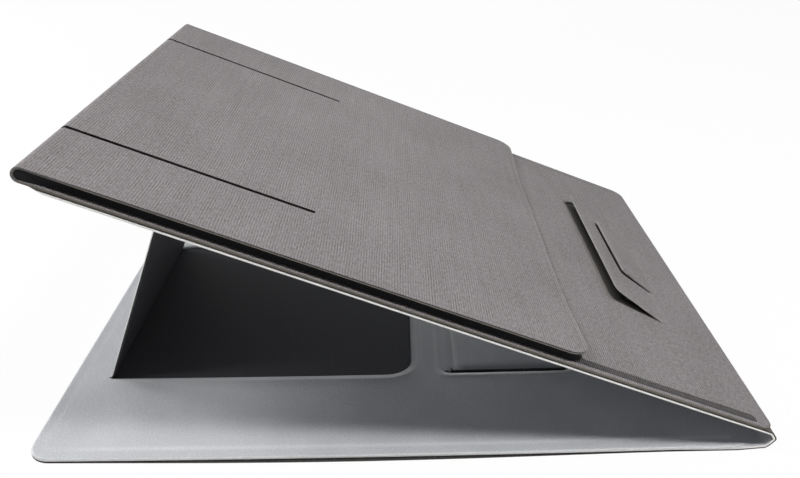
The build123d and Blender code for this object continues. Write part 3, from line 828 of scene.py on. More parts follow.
def loop(x0, x1, half, corners, side_points):
    """A closed loop round a rectangle. Each corner is (reach, sharp): an arc of that radius, or the
    same number of points along the two legs of a sharp corner."""
    turn = np.linspace(0, math.pi / 2, CORNER_POINTS)
    places = [(x0, -half), (x1, -half), (x1, half), (x0, half)]
    arrive = [(0, -1), (1, 0), (0, 1), (-1, 0)]
    leave = [(1, 0), (0, 1), (-1, 0), (0, -1)]
    bends = []
    for (cx, cy), a, b, (reach, sharp) in zip(places, np.array(arrive), np.array(leave), corners):
        size = np.maximum(np.sin(turn), np.cos(turn)) if sharp else 1.0
        centre = np.array([cx, cy]) + reach * (b - a)
        towards_a = (np.sin(turn) / size)[:, None] * a
        towards_b = (np.cos(turn) / size)[:, None] * b
        bends.append(centre + reach * (towards_a - towards_b))
    points = []
    for bend, following, count in zip(bends, bends[1:] + bends[:1], side_points):
        share = np.linspace(0, 1, count + 2)[1:-1, None]
        points += [bend, bend[-1] + share * (following[0] - bend[-1])]
    return np.concatenate(points)


def nested_loops(x0, x1, half, corners, side_points, steps, moves):
    """Loops at each step inwards from a rectangle. moves says how much its left and right sides follow
    the steps, and a negative step goes outwards."""
    rows = []
    for step in steps:
        nested = [(reach if sharp else max(reach - step, LEAST_R), sharp) for reach, sharp in corners]
        rows.append(loop(x0 + moves[0] * step, x1 - moves[1] * step, half - step, nested, side_points))
    return np.stack(rows, 1)


def joined_rows(outer_rows, inner_rows, middle):
    """All rows of a ring: the outer loops, rows spread between them and the inner loops, the inner loops."""
    share = np.linspace(0, 1, middle + 2)[None, 1:-1, None]
    between = outer_rows[:, -1:] + share * (inner_rows[:, :1] - outer_rows[:, -1:])
    rows = np.concatenate([outer_rows, between, inner_rows], 1)
    return rows[..., 0], rows[..., 1]

# %% Places of the windows
WINDOW_X = float(hinge_at["prop_fold"][0])
WINDOW_END_X = float(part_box("window_floor")[1].x)
LOW_WINDOW_X = float(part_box("low_window_floor")[0].x)
LOW_WINDOW_END_X = float(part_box("low_window_floor")[1].x)
WINDOW_HALF = float(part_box("window_floor")[1].y)
WINDOW_R = 13 * MM
LOW_WINDOW_R = 8 * MM
LOW_CREASE_R = 5 * MM
STRIP_X = (WINDOW_END_X + LOW_WINDOW_X) / 2
SHARP = (7 * MM, True)


def window_gap(x, y):
    """Distance from the cut sides of the tall window. Its left side isn't cut: the prop folds up there."""
    cut = -inside(x, y, WINDOW_X - HALF, WINDOW_END_X, WINDOW_HALF, 0, WINDOW_R)
    ends = np.hypot(WINDOW_X - x, np.abs(y) - WINDOW_HALF)
    return np.where(x >= WINDOW_X, np.maximum(cut, 0), ends)


def low_window_gap(x, y):
    """Distance from the low prop's window."""
    cut = -inside(x, y, LOW_WINDOW_X, LOW_WINDOW_END_X, WINDOW_HALF, LOW_CREASE_R, LOW_WINDOW_R)
    return np.maximum(cut, 0)

# %% Heights of the base lining
CREASE_STEP = 0.35 * MM
RIM_STEP = 0.3 * MM
STEP_AT_END = 0.3
STEP_RUN = 30 * MM
STEP_PLACE = 5.2 * MM
STEP_WIDTH = 2 * MM
STEP_LIFT_WIDTH = 5 * MM
FOOT_FADE = 18 * MM
ROLL_START = 0.5 * MM
ROLL_FADE = 3 * MM
HINGE_SIDE = 2.5 * MM
HINGE_FADE = 4 * MM
HOLLOW_REACH = 6 * MM
# The painted highlights fade out to the left of the tall prop's foot.
HIGHLIGHT_START = 20 * MM
HIGHLIGHT_FADE = 40 * MM
# A roll is its width and drop, a ridge its distance from the edge, width and height or painted highlight.
RIM_ROLL = (1.4 * MM, 0.8 * MM)
WINDOW_ROLL = (2.2 * MM, 1.3 * MM)
LOW_ROLL = (1.6 * MM, 1.0 * MM)
WINDOW_RIDGE = (4.6 * MM, 3.0 * MM, 0.28 * MM)
LOW_RIDGE = (3.2 * MM, 2.2 * MM, 0.3 * MM)
EDGE_HIGHLIGHT = (6.4 * MM, 2.4 * MM, 0.2)
WINDOW_HIGHLIGHT = (3.2 * MM, 2.2 * MM, 0.16)
LOW_HIGHLIGHT = (2.4 * MM, 1.8 * MM, 0.16)


def base_height(x, y):
    """Top of the base lining: flat, less its rolled rim, the pressed line and the rolls into the windows."""
    edge = base_edge(x, y)
    tall, low = window_gap(x, y), low_window_gap(x, y)
    step = RIM_STEP * (STEP_AT_END + (1 - STEP_AT_END) * smooth((x - LEFT) / STEP_RUN))
    height = BASE_TOP - rolled(edge, *RIM_ROLL) - step * rim_of(edge - STEP_PLACE, STEP_WIDTH)
    height += 0.5 * step * rim_of(edge, STEP_LIFT_WIDTH)
    height += smooth((x - WINDOW_X) / FOOT_FADE) * pressed(tall, *WINDOW_RIDGE)
    height -= smooth((x - WINDOW_X + ROLL_START) / ROLL_FADE) * rolled(tall, *WINDOW_ROLL)
    hinge_side = smooth((LOW_WINDOW_X + HINGE_SIDE - x) / HINGE_FADE)
    cut_side = rolled(low, *LOW_ROLL) - pressed(low, *LOW_RIDGE)
    hollow = CREASE_STEP * rim_of(low, HOLLOW_REACH)
    return height - (1 - hinge_side) * cut_side - hinge_side * hollow


def base_ring(name, outer_rows, inner_rows):
    """One ring of the base lining, from the rim or a seam to a window."""
    x, y = joined_rows(outer_rows, inner_rows, 8)
    edge = base_edge(x, y)
    upper = on_base(x, bowed(x, y), base_height(x, y))
    lower = on_base(x, bowed(x, y), SKIN + turned_up(x, y))
    # Painted highlights along the ridges by the base's edge and the windows; the cut edge shows the white
    # core.
    ridge_highlights = pressed(edge, *EDGE_HIGHLIGHT) + pressed(window_gap(x, y), *WINDOW_HIGHLIGHT)
    ridge_highlights = ridge_highlights + pressed(low_window_gap(x, y), *LOW_HIGHLIGHT)
    ridge_highlights = ridge_highlights * smooth((x - WINDOW_X + HIGHLIGHT_START) / HIGHLIGHT_FADE)
    pale = np.maximum(BASE_CUT * rim_of(edge, BASE_CUT_WIDTH), ridge_highlights)
    piece = shell(name, upper, lower, (x, y), PALE, pale, closed=True)
    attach(piece, "base")
    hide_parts("base_lining")
    return piece

# %% The base lining's two rings
SIDES = (50, 60, 50, 60)
base_corner = (BASE_CORNER_R, False)
window_corner = (WINDOW_R, False)
rim_corners = [base_corner, SHARP, SHARP, base_corner]
tall_rim = nested_loops(LEFT, STRIP_X, HALF, rim_corners, SIDES, BASE_STEPS, (1, 0))
cut_corners = [SHARP, window_corner, window_corner, SHARP]
tall_cut = nested_loops(
    WINDOW_X, WINDOW_END_X, WINDOW_HALF, cut_corners, SIDES, -RIM_STEPS[::-1], (0, 1)
)
base_ring("base_lining_tall_window", tall_rim, tall_cut)
crease_corner, low_corner = (LOW_CREASE_R, False), (LOW_WINDOW_R, False)
low_rim = nested_loops(STRIP_X, RAMP_X, HALF, [SHARP] * 4, SIDES, BASE_STEPS, (0, 0))
low_cut = nested_loops(
    LOW_WINDOW_X,
    LOW_WINDOW_END_X,
    WINDOW_HALF,
    [crease_corner, low_corner, low_corner, crease_corner],
    SIDES,
    -RIM_STEPS[::-1],
    (1, 1),
)
base_ring("base_lining_low_window", low_rim, low_cut)
print("strip between the windows:", round((LOW_WINDOW_X - WINDOW_END_X) / MM, 1), "mm")

# %% [markdown]
# ## The tall prop
# The prop is a panel cut out of the base. Its lining turns up out of the base in a small fold, runs
# up to the leaf, and folds over to the magnet flap. The black skin behind it turns the same way with
# a larger radius. Each sheet is drawn as one profile: an arc, a straight run, and an arc at the top.

# %% Profiles of the prop and its flap
PROP_FOOT = hinge_at["prop_fold"]
PROP_CREASE = hinge_at["prop_flap_fold"]
PROP_HALF = float(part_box("prop_board")[1].y)
FOOT_R = 0.8 * MM
PROP_LINING = 0.6 * MM
PROP_SKIN = 0.3 * MM
PROP_T = 1.5 * MM
CREASE_R = 0.4 * MM
FLAP_LENGTH = 35 * MM
FLAP_CORNER_R = 12.2 * MM
PROP_LENGTH = float((PROP_CREASE - PROP_FOOT) @ SQUARE)
SKIN_FOOT_TURN = math.radians(-78)
PROP_CUT_WIDTH = 0.5 * MM
PROP_STEP = 6 * MM
FLAP_STEP = 3 * MM
SKIN_ROLL = 0.1 * MM


def prop_profile(depth, first_turn):
    """A sheet of the prop, depth behind its lined face: foot arc from first_turn, then the straight run."""
    turn = np.linspace(first_turn, -SLOPE, 12)
    radius = FOOT_R + depth
    arc = PROP_FOOT[[0, 2]] + radius * np.stack([np.cos(turn), np.sin(turn)], -1)
    rise = lines(0, PROP_LENGTH, PROP_STEP, [PROP_LENGTH])[1:, None]
    return np.concatenate([arc, arc[-1] + rise * SQUARE[[0, 2]]])


def flap_profile(depth):
    """A sheet of the magnet flap, depth below its lined face: arc about the crease, then the flap."""
    turn = np.linspace(math.pi - SLOPE, math.pi / 2 - SLOPE, 14)
    radius = CREASE_R + PROP_T - depth
    arc = PROP_CREASE[[0, 2]] + radius * np.stack([np.cos(turn), np.sin(turn)], -1)
    reach = lines(0, FLAP_LENGTH, FLAP_STEP, [FLAP_LENGTH])[1:, None]
    return np.concatenate([arc, arc[-1] + reach * DOWNHILL[[0, 2]]])


def panel_sheet(name, upper_profile, lower_profile, finish, corner_r=0.0, roll=0.25 * MM):
    """A prop's sheet carried across its width, with softly rolled side edges and round free corners."""
    y = lines(-PROP_HALF, PROP_HALF, PROP_STEP, [-PROP_HALF, PROP_HALF])
    upper, lower = across_stand(upper_profile, y), across_stand(lower_profile, y)
    length = profile_length(upper_profile)
    if corner_r:
        share = np.clip((length - length[-1] + 2 * corner_r) / (2 * corner_r), 0, 1)
        direction = upper_profile[-1] - upper_profile[-2]
        direction = direction / np.hypot(*direction)
        pull = share[:, None] * corner_cut(y, PROP_HALF, corner_r)
        for points in (upper, lower):
            points[..., [0, 2]] -= pull[..., None] * direction
    edge = PROP_HALF - np.abs(y)[None, :] + np.zeros((len(length), 1))
    inwards = lower - upper
    inwards /= np.linalg.norm(inwards, axis=-1, keepdims=True)
    upper += rolled(edge, 2 * roll, roll)[..., None] * inwards
    flat = np.broadcast_arrays(length[:, None], y[None, :])
    return shell(name, upper, lower, flat, finish, rim_of(edge, PROP_CUT_WIDTH))

# %% The tall prop's pieces
prop_lining = panel_sheet(
    "prop_lining_sheet", prop_profile(0.0, -math.pi / 2), prop_profile(PROP_LINING, -math.pi / 2), PALE
)
prop_skin = panel_sheet(
    "prop_skin_sheet",
    prop_profile(PROP_T, SKIN_FOOT_TURN),
    prop_profile(PROP_T - PROP_SKIN, SKIN_FOOT_TURN),
    BLACK,
    roll=SKIN_ROLL,
)
for piece, node in ((prop_lining, "prop_lining"), (prop_skin, "prop_skin")):
    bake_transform(piece)
    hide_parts(node)
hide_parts("prop_foot_fold")

flap_lining = panel_sheet(
    "prop_flap_lining_sheet", flap_profile(0.0), flap_profile(PROP_LINING), PALE, FLAP_CORNER_R
)
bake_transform(flap_lining)
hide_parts("prop_flap_lining", "prop_crease_fold")
print("tall prop:", round(PROP_LENGTH / MM, 1), "mm from its foot to its crease")

# %% [markdown]
# ## The low prop
# A shorter prop lies flat in its own window. A wide soft crease is its hinge: the lining dips into
# it and rises again to the panel, so the crease is a strip with a smooth hollow across it. The panel
# and its flap are one sheet with rolled edges.

# %% Sizes of the low prop
LOW_START_X = float(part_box("low_prop_lining")[0].x)
LOW_END_X = float(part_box("low_flap_lining")[1].x)
LOW_PANEL_R = 7.2 * MM
CREASE_END_X = LOW_START_X + 1.8 * MM
CREASE_BANK = 0.72
CREASE_DIP = 0.4 * MM
CREASE_T = 0.35 * MM
LOW_LINING = 0.6 * MM
SIDE_ROLL = 4 * MM
SIDE_DROP = 0.8 * MM
PANEL_SLOPE = 5 * MM
PANEL_DROP = 0.75 * MM
PANEL_INSET = 1.9 * MM
SLIT_START_X = LOW_WINDOW_X + 1.2 * MM
CREASE_TUCK = 0.4 * MM
# Strength of the painted highlight on the panel's ridge and of the painted shade towards its edges.
RIDGE_HIGHLIGHT = 0.45
VALLEY_SHADE = 0.6
VALLEY = 8 * MM
VALLEY_START = 6 * MM
SLIT_ROUND = 1.4 * MM
RIDGE_PLACE = 0.3 * MM
RIDGE_WIDTH = 1.2 * MM


def crease_height(x):
    """Top of the low prop's hinge: a hollow between the base lining and the prop's panel."""
    across = (x - LOW_WINDOW_X) / (CREASE_END_X - LOW_WINDOW_X)
    bank = smooth((across - CREASE_BANK) / (1 - CREASE_BANK))
    return BASE_TOP - (CREASE_STEP + CREASE_DIP * np.sin(math.pi * across) ** 2) * (1 - bank)

# %% The low prop's hinge
low_y = lines(-PROP_HALF, PROP_HALF, 8 * MM, [-PROP_HALF, PROP_HALF])
crease_x = np.linspace(LOW_WINDOW_X, CREASE_END_X, 30)[:, None]
crease_share = (CREASE_END_X - crease_x) / (CREASE_END_X - LOW_WINDOW_X)
crease_x = crease_x + crease_share * corner_cut(low_y, PROP_HALF, LOW_CREASE_R)
slit_share = smooth((crease_x - SLIT_START_X) / SLIT_ROUND)
crease_half = PROP_HALF + CREASE_TUCK * (1 - slit_share) - PANEL_INSET * slit_share
crease_y = low_y * crease_half / PROP_HALF
crease_side = crease_half - np.abs(crease_y)
panel_side = PANEL_DROP * rim_of(crease_side + PANEL_INSET, PANEL_SLOPE)
crease_top = crease_height(crease_x) - slit_share * panel_side
crease_top -= (1 - slit_share) * rolled(crease_side, SIDE_ROLL, SIDE_DROP)
low_crease = shell(
    "low_prop_crease_sheet",
    on_base(crease_x, bowed(crease_x, crease_y), crease_top),
    on_base(crease_x, bowed(crease_x, crease_y), crease_top - CREASE_T),
    (crease_x, crease_y),
    PALE,
)
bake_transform(low_crease)
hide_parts("low_prop_crease")

# %% The low prop's panel
low_x = lines(CREASE_END_X, LOW_END_X, 3 * MM, [LOW_END_X])[:, None]
low_share = np.clip((low_x - LOW_END_X + 2 * LOW_PANEL_R) / (2 * LOW_PANEL_R), 0, 1)
low_x = low_x - low_share * corner_cut(low_y, PROP_HALF, LOW_PANEL_R)
low_gy = low_y * (1 - PANEL_INSET / PROP_HALF) + 0 * low_x
low_edge = np.maximum(inside(low_x, low_gy, LOW_START_X - HALF, LOW_END_X, PROP_HALF, 0, LOW_PANEL_R), 0)
low_top = BASE_TOP - PANEL_DROP * rim_of(low_edge, PANEL_SLOPE)
# A painted highlight on the ridge by the crease, and painted shade towards the panel's edges.
ridge = pressed(low_x, CREASE_END_X + RIDGE_PLACE, RIDGE_WIDTH, RIDGE_HIGHLIGHT) * smooth(low_edge / PANEL_SLOPE)
valley = smooth((low_x - CREASE_END_X) / VALLEY_START) * rim_of(low_edge - PANEL_INSET, VALLEY)
low_panel = shell(
    "low_prop_lining_sheet",
    on_base(low_x, bowed(low_x, low_gy), low_top),
    on_base(low_x, bowed(low_x, low_gy), low_top - LOW_LINING),
    (low_x, low_gy),
    PALE,
    ridge - VALLEY_SHADE * valley,
)
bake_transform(low_panel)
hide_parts("low_prop_lining", "low_flap_lining", "low_flap_crease")

# %% [markdown]
# ## The leaf's top skin
# The skin on top of the leaf has a hole for the stop tab and turns down over the board's edges. The
# hole is a trapezoid with a step for the small tongue. Seen from its middle, every point of the hole
# and of the panel's outline is in plain sight, so a ray through each outer point finds its partner
# on the hole's edge. A ribbed band lies in a shallow channel along each side.

# %% Leaf skin round the tab's hole
TAB_R = 6 * MM
TONGUE_BELOW = 5 * MM
TONGUE_DEPTH = 21 * MM
TONGUE_HINGE_HALF = 39 * MM
TONGUE_FREE_HALF = 35 * MM
TONGUE_R = 4 * MM
FAR_FIT = 0.12 * MM
BAND_INSET = 2.6 * MM
BAND_WIDTH = 5.2 * MM
BAND_HIGH_X = -106 * MM
BAND_LOW_X = -5 * MM
BAND_DEPTH = 0.3 * MM
LEAF_CORNER_R = 8 * MM
BOARD_TOP_H = 6.0 * MM
PANEL_ROLL = (1.5 * MM, 0.75 * MM)
PANEL_CUT_WIDTH = 0.6 * MM
HOLE_LIP = 0.35 * MM
HOLE_ROLL = (1.7 * MM, 1.0 * MM)
HOLE_FOOT = 0.1 * MM
HOLE_POINTS = 3000
CHANNEL_PLAY = 0.05 * MM
CHANNEL_WALL = 0.25 * MM
PANEL_SIDES = (150, 150, 150, 60)


def spaced(path, count):
    """The same line with count points, evenly spaced along it."""
    length = profile_length(path)
    stops = np.linspace(0, length[-1], count)
    return np.stack([np.interp(stops, length, path[:, 0]), np.interp(stops, length, path[:, 1])], -1)


def near_to_far(half_line):
    """A line given on the far side, from the near side's mirror image over the middle to itself."""
    return [(x, -y) for x, y in half_line] + [(x, y) for x, y in reversed(half_line)]


hole_half = [
    (HOLE_LOW_X + TONGUE_BELOW, TONGUE_HINGE_HALF + TAB_GAP),
    (HOLE_LOW_X, TONGUE_HINGE_HALF + TAB_GAP),
    (HOLE_LOW_X, TAB_HINGE_HALF + TAB_GAP),
    (HOLE_HIGH_X, TAB_FREE_HALF + TAB_GAP),
]
hole_line = near_to_far(hole_half)
hole_line[-3] = (HOLE_LOW_X, TAB_HINGE_HALF + FAR_FIT)
HOLE_ROUNDS = [0.3 * MM, 0.5 * MM, TAB_R, TAB_R, 0.5 * MM, 0.3 * MM]
hole = rounded_line(hole_line, HOLE_ROUNDS)
hole = spaced(np.concatenate([hole, hole[:1]]), HOLE_POINTS)[:-1] + [0, TAB_MIDDLE_Y]
hole_middle = np.array([TAB_HINGE_X - TAB_DEPTH / 2, TAB_MIDDLE_Y])


def hole_partner(points):
    """Where rays from the hole's middle to the given points cross the hole's edge."""
    spokes, edge = points - hole_middle, hole - hole_middle
    angle, edge_angle = np.arctan2(spokes[:, 1], spokes[:, 0]), np.arctan2(edge[:, 1], edge[:, 0])
    order = np.argsort(edge_angle)
    reach = np.interp(angle, edge_angle[order], np.hypot(*edge.T)[order], period=2 * math.pi)
    return hole_middle + reach[:, None] * np.stack([np.cos(angle), np.sin(angle)], -1)


def band_depth(x, y):
    """Depth of the channel for the ribbed bands, beside each long edge."""
    middle = HALF - BAND_INSET - BAND_WIDTH / 2
    across = BAND_WIDTH / 2 - np.abs(np.abs(y) - middle)
    gap = np.minimum(across, np.minimum(BAND_LOW_X - x, x - BAND_HIGH_X))
    return (BAND_DEPTH + CHANNEL_PLAY) * smooth(gap / CHANNEL_WALL + 0.5)

# %% The leaf's skin
panel_corner = (LEAF_CORNER_R, False)
BAND_STEPS = np.array(
    [0, 0.1, 0.25, 0.5, 0.8, 1.2, 1.7, 2.2, 2.5, 2.6, 2.7, 3.0, 5.2, 7.5, 7.75, 7.85, 8.0]
) * MM
panel_rows = nested_loops(
    HIGH_X, LOW_X, HALF, [SHARP, panel_corner, panel_corner, SHARP], PANEL_SIDES, BAND_STEPS, (0, 1)
)
edge_points = hole_partner(panel_rows[:, -1])
outwards = panel_rows[:, -1] - edge_points
outwards /= np.hypot(*outwards.T)[:, None]
HOLE_STEPS = np.array([-0.35, -0.25, -0.12, -0.02, 0.0, 0.15, 0.35, 0.7, 1.2, 2.0, 4.0])[::-1] * MM
hole_rows = edge_points[:, None] + HOLE_STEPS[None, :, None] * outwards[:, None]
panel_x, panel_y = joined_rows(panel_rows, hole_rows, 12)
panel_edge = np.maximum(inside(panel_x, panel_y, 2 * HIGH_X, LOW_X, HALF, 0, LEAF_CORNER_R), 0)
hole_edge = np.broadcast_to(
    np.concatenate([np.full(panel_x.shape[1] - len(HOLE_STEPS), 1.0), HOLE_STEPS]), panel_x.shape
)
panel_top = PANEL_H - rolled(panel_edge, *PANEL_ROLL) - band_depth(panel_x, panel_y)
panel_top -= rolled(hole_edge + HOLE_LIP, *HOLE_ROLL)
panel_low = np.where(panel_edge < PANEL_ROLL[1], SPINE_R, BOARD_TOP_H)
panel_low = np.where(hole_edge < 0, SPINE_R + HOLE_FOOT, panel_low)
# Painted shadow of the lifted tab, darkening the leaf skin round the hole's free sides.
hole_painted_shadow = HOLE_PAINTED_SHADOW * rim_of(np.abs(hole_depth(panel_x, panel_y)), PAINTED_SHADOW_REACH)
hole_painted_shadow *= smooth((HOLE_LOW_X - panel_x) / PAINTED_SHADOW_FADE)
leaf_skin = shell(
    "leaf_skin_sheet",
    on_leaf(panel_x, panel_y, panel_top),
    on_leaf(panel_x, panel_y, panel_low),
    (panel_x, panel_y),
    LINEN,
    np.maximum(rim_of(panel_edge, PANEL_CUT_WIDTH), hole_painted_shadow),
    closed=True,
)
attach(leaf_skin, "leaf")
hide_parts("leaf_cover")

# %% [markdown]
# The ribbed bands are knitted elastic. Their ribs are real geometry: the height is a row of humps
# along the band, flattened towards its two edges.

# %% Ribbed bands
RIB_POINTS = 6
RIB_HEIGHT = 0.22 * MM
BORDER = 0.8 * MM
BAND_SINK = 0.22 * MM
RIB_FOOT = 0.06 * MM
BAND_BEVEL = 0.3 * MM
BAND_END = 1.5 * MM
BAND_UNDER = 0.1 * MM
ACROSS_BAND = np.array([0.35, 0.7, 0.8, 0.9, 0.97, 1])


def ribs(x, height):
    """Rounded humps along x, one in each rib pitch, from 0 up to height."""
    return height * np.abs(np.sin(math.pi * x / RIB_PITCH)) ** 0.7


band_x = np.arange(BAND_HIGH_X, BAND_LOW_X, RIB_PITCH / RIB_POINTS)[:, None]
band_across = np.concatenate([-ACROSS_BAND[::-1], [0], ACROSS_BAND])[None, :] * BAND_WIDTH / 2
band_flat = np.minimum(1, (BAND_WIDTH / 2 - np.abs(band_across)) / BAND_BEVEL)
end_reach = np.clip((band_x - BAND_LOW_X) / (BAND_WIDTH / 2) + 1, 0, 0.999)
round_end = np.sqrt(1 - end_reach**2)
for side, sign in (("near", -1), ("far", 1)):
    band_y = sign * (HALF - BAND_INSET - BAND_WIDTH / 2) + band_across
    end_in = smooth((BAND_LOW_X - band_x) / BAND_END)
    band_top = PANEL_H - BAND_SINK + (RIB_FOOT + ribs(band_x, RIB_HEIGHT)) * band_flat * end_in
    grid_x, grid_y = np.broadcast_arrays(band_x, band_y - band_across + band_across * round_end)
    band = shell(
        f"{side}_ribbed_band",
        on_leaf(grid_x, grid_y, band_top),
        on_leaf(grid_x, grid_y, PANEL_H - BAND_DEPTH - BAND_UNDER),
        (grid_x, grid_y),
        BAND if side == "near" else FAR_BAND,
        rim_of(BAND_WIDTH / 2 - np.abs(band_across) + 0 * grid_x, BORDER),
    )
    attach(band, "leaf")
    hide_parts(f"{side}_edge_band")

# %% [markdown]
# ## The pocket
# The pocket's front is two sheets that run down from the high end to a round-cornered mouth. At the
# high end both turn back in a half circle to meet the leaf's board. Two slits start there. They are
# cells left out of the grid, and the faces beside them roll down a little, as a cut skin does. The
# front is soft: between its gussets it sinks towards the mouth, whose edge has a painted highlight.

# %% Grid lines of the pocket's front
MOUTH_R = 11 * MM
SLIT_END_X = -221.5 * MM
SLIT_Y = 91.5 * MM
SLIT_HALF = 1.2 * MM
FRONT_SKIN = 0.6 * MM
HEM = 2.8 * MM
HEM_WIDTH = 1.2 * MM
HEM_DEPTH = 0.2 * MM
SAG = 3.2 * MM
SAG_REACH = 110 * MM
SAG_SIDE = 70 * MM
MOUTH_WIDTH = 0.9 * MM
FRONT_CUT_WIDTH = 0.25 * MM
SLIT_CUT_WIDTH = 0.2 * MM
LIP_ROLL = 0.5 * MM
FOLD_TINT = 0.3
FOLD_FADE = 30 * MM
FRONT_STEP = 5 * MM
LINE_GAP = 0.05 * MM
SLIT_CLEAR = 1.0 * MM
SLIT_STEPS = SLIT_HALF + np.array([0, 0.08, 0.2, 0.4, 0.75, 1.3, 2.2, 3.6]) * MM

slit_lines = np.concatenate([side * (SLIT_Y + sign * SLIT_STEPS) for side in (-1, 1) for sign in (-1, 1)])
front_y = lines(-HALF, HALF, FRONT_STEP, [-HALF, HALF])
front_y = front_y[np.min(np.abs(front_y[:, None] - slit_lines[None, :]), 1) > LINE_GAP]
front_y = front_y[np.abs(np.abs(front_y) - SLIT_Y) > SLIT_CLEAR]
front_y = np.sort(np.concatenate([front_y, slit_lines]))
END_STEPS = np.array([0, 0.0004, 0.001, 0.002, 0.0035, 0.006, 0.011, 0.018, 0.026])
RUN_STEPS = lines(0, 1, 0.02, [0.0, 1.0], END_STEPS)
SLIT_SHARE = (SLIT_END_X - HIGH_X) / (MOUTH_X - HIGH_X)
slit_stops = SLIT_SHARE + np.array([-0.004, -0.0015, 0, 0.0015, 0.004])
RUN_STEPS = np.sort(np.concatenate([RUN_STEPS, slit_stops]))
FOLD_TURNS = np.linspace(math.pi, 0, 25)

# %% Shape of the soft front
def front_grid(mouth_inset, half):
    """Flat grid of the pocket front: x from the high end to the round-cornered mouth, and y across."""
    y = front_y * half / HALF
    end = MOUTH_X - mouth_inset - corner_cut(y, half, MOUTH_R - mouth_inset)
    x = HIGH_X + RUN_STEPS[:, None] * (end - HIGH_X)[None, :]
    return x, np.broadcast_to(y, x.shape)


def with_fold(x, y, heights, radius):
    """Points of a sheet that first turns round the high end on a radius and then runs down the leaf."""
    turn = FOLD_TURNS[:-1, None]
    middle_h = (POCKET_TOP_H + SPINE_R) / 2
    fold_x = HIGH_X - radius * np.sin(turn) + 0 * y[:1]
    fold_h = middle_h + radius * np.cos(turn) + 0 * y[:1]
    grid_x = np.concatenate([fold_x, x])
    grid_y = np.concatenate([np.broadcast_to(y[:1], fold_x.shape), y])
    grid_h = np.concatenate([fold_h, heights])
    return on_leaf(grid_x, grid_y, grid_h), grid_x, grid_y


def slit_gap(x, y):
    """Distance from the nearer slit, which runs on over the high end."""
    across = np.maximum(np.abs(np.abs(y) - SLIT_Y) - SLIT_HALF, 0)
    return np.hypot(across, np.maximum(x - SLIT_END_X, 0))


def sagging(x, y, half):
    """How far the soft front sinks between its two gussets, most at the middle of its mouth."""
    along = np.clip((x - MOUTH_X) / SAG_REACH + 1, 0, 1)
    return SAG * along**2 * smooth((half - np.abs(y)) / SAG_SIDE)

# %% The pocket's two sheets
def front_sheet(name, top_h, low_h, outer_r, inner_r, finish, mouth_inset, half, edge_roll, lip, rims):
    """One sheet of the pocket front, between two heights on the leaf and two radii round the high end."""
    x, y = front_grid(mouth_inset, half)
    edge = np.maximum(inside(x, y, 2 * HIGH_X, MOUTH_X - mouth_inset, half, 0, MOUTH_R - mouth_inset), 0)
    cut = np.minimum(edge, slit_gap(x, y))
    sag = sagging(x, y, half)
    top = top_h - sag - rolled(cut, 2 * edge_roll, edge_roll) - pressed(edge, HEM, HEM_WIDTH, HEM_DEPTH)
    low = low_h - sag + rolled(cut, LIP_ROLL, lip)
    upper, grid_x, grid_y = with_fold(x, y, top, outer_r)
    lower, _, _ = with_fold(x, y, low, inner_r)
    cells_y = (grid_y[:-1, :-1] + grid_y[:-1, 1:]) / 2
    steps_x = np.arange(len(grid_x) - 1)
    in_slit = np.abs(np.abs(cells_y) - SLIT_Y * half / HALF) < SLIT_HALF * 0.99
    run_end = len(FOLD_TURNS) - 1 + np.searchsorted(RUN_STEPS, SLIT_SHARE + 1e-6) - 1
    on_slit = (steps_x >= len(FOLD_TURNS) // 2) & (steps_x < run_end)
    keep = ~(in_slit & on_slit[:, None])
    fold_length = outer_r * (math.pi - FOLD_TURNS[:-1])
    fold_shape = (len(FOLD_TURNS) - 1, x.shape[1])
    fold_run = (fold_length - outer_r * math.pi)[:, None] + HIGH_X
    run_x = np.concatenate([np.broadcast_to(fold_run, fold_shape), x])
    fold_edge = np.broadcast_to(half - np.abs(y[:1]), fold_shape)
    run_share = FOLD_TINT + (1 - FOLD_TINT) * smooth((grid_x - HIGH_X) / FOLD_FADE)
    all_edge = np.concatenate([np.maximum(fold_edge, 0), edge])
    edge_tint, slit_tint, hem_shade, mouth_highlight = rims
    edge_rim = edge_tint * run_share * rim_of(all_edge, FRONT_CUT_WIDTH)
    rim = np.maximum(edge_rim, slit_tint * rim_of(slit_gap(grid_x, grid_y), SLIT_CUT_WIDTH))
    # Painted shade in the pressed hem line.
    rim = np.maximum(rim, pressed(all_edge, HEM, HEM_WIDTH, hem_shade))
    # A painted highlight along the mouth's edge.
    at_mouth = rim_of(grid_x[-1:] - grid_x, MOUTH_WIDTH) * smooth((half - np.abs(grid_y)) / MOUTH_R)
    rim = rim * (1 - at_mouth) - mouth_highlight * at_mouth
    piece = shell(name, upper, lower, (run_x, grid_y), finish, rim, keep)
    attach(piece, "leaf")
    return piece


pocket_skin = front_sheet(
    "pocket_skin_sheet",
    POCKET_TOP_H,
    POCKET_TOP_H - FRONT_SKIN,
    END_R,
    END_R - FRONT_SKIN,
    POCKET_LINEN,
    mouth_inset=0.0,
    half=HALF,
    edge_roll=0.2 * MM,
    lip=0.2 * MM,
    rims=(0.8, 1.0, 0.1, 0.6),
)
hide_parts("pocket_front_cover", "pocket_end_fold")
LIP_STEP = 0.15 * MM
pocket_cloth = front_sheet(
    "pocket_lining_sheet",
    POCKET_TOP_H - FRONT_SKIN,
    POCKET_LOW_H,
    END_R - FRONT_SKIN,
    END_R - 2 * FRONT_SKIN,
    POCKET_CLOTH,
    mouth_inset=LIP_STEP,
    half=HALF - LIP_STEP,
    edge_roll=0.25 * MM,
    lip=0.1 * MM,
    rims=(1.0, 0.0, 0.0, 0.0),
)
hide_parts("pocket_front_lining")

# %% [markdown]
# The sides of the pocket are black ribbed elastic, bowed inwards because it is drawn tight. Each
# gusset runs right up into the turn of the high end, where its height follows the half circle.

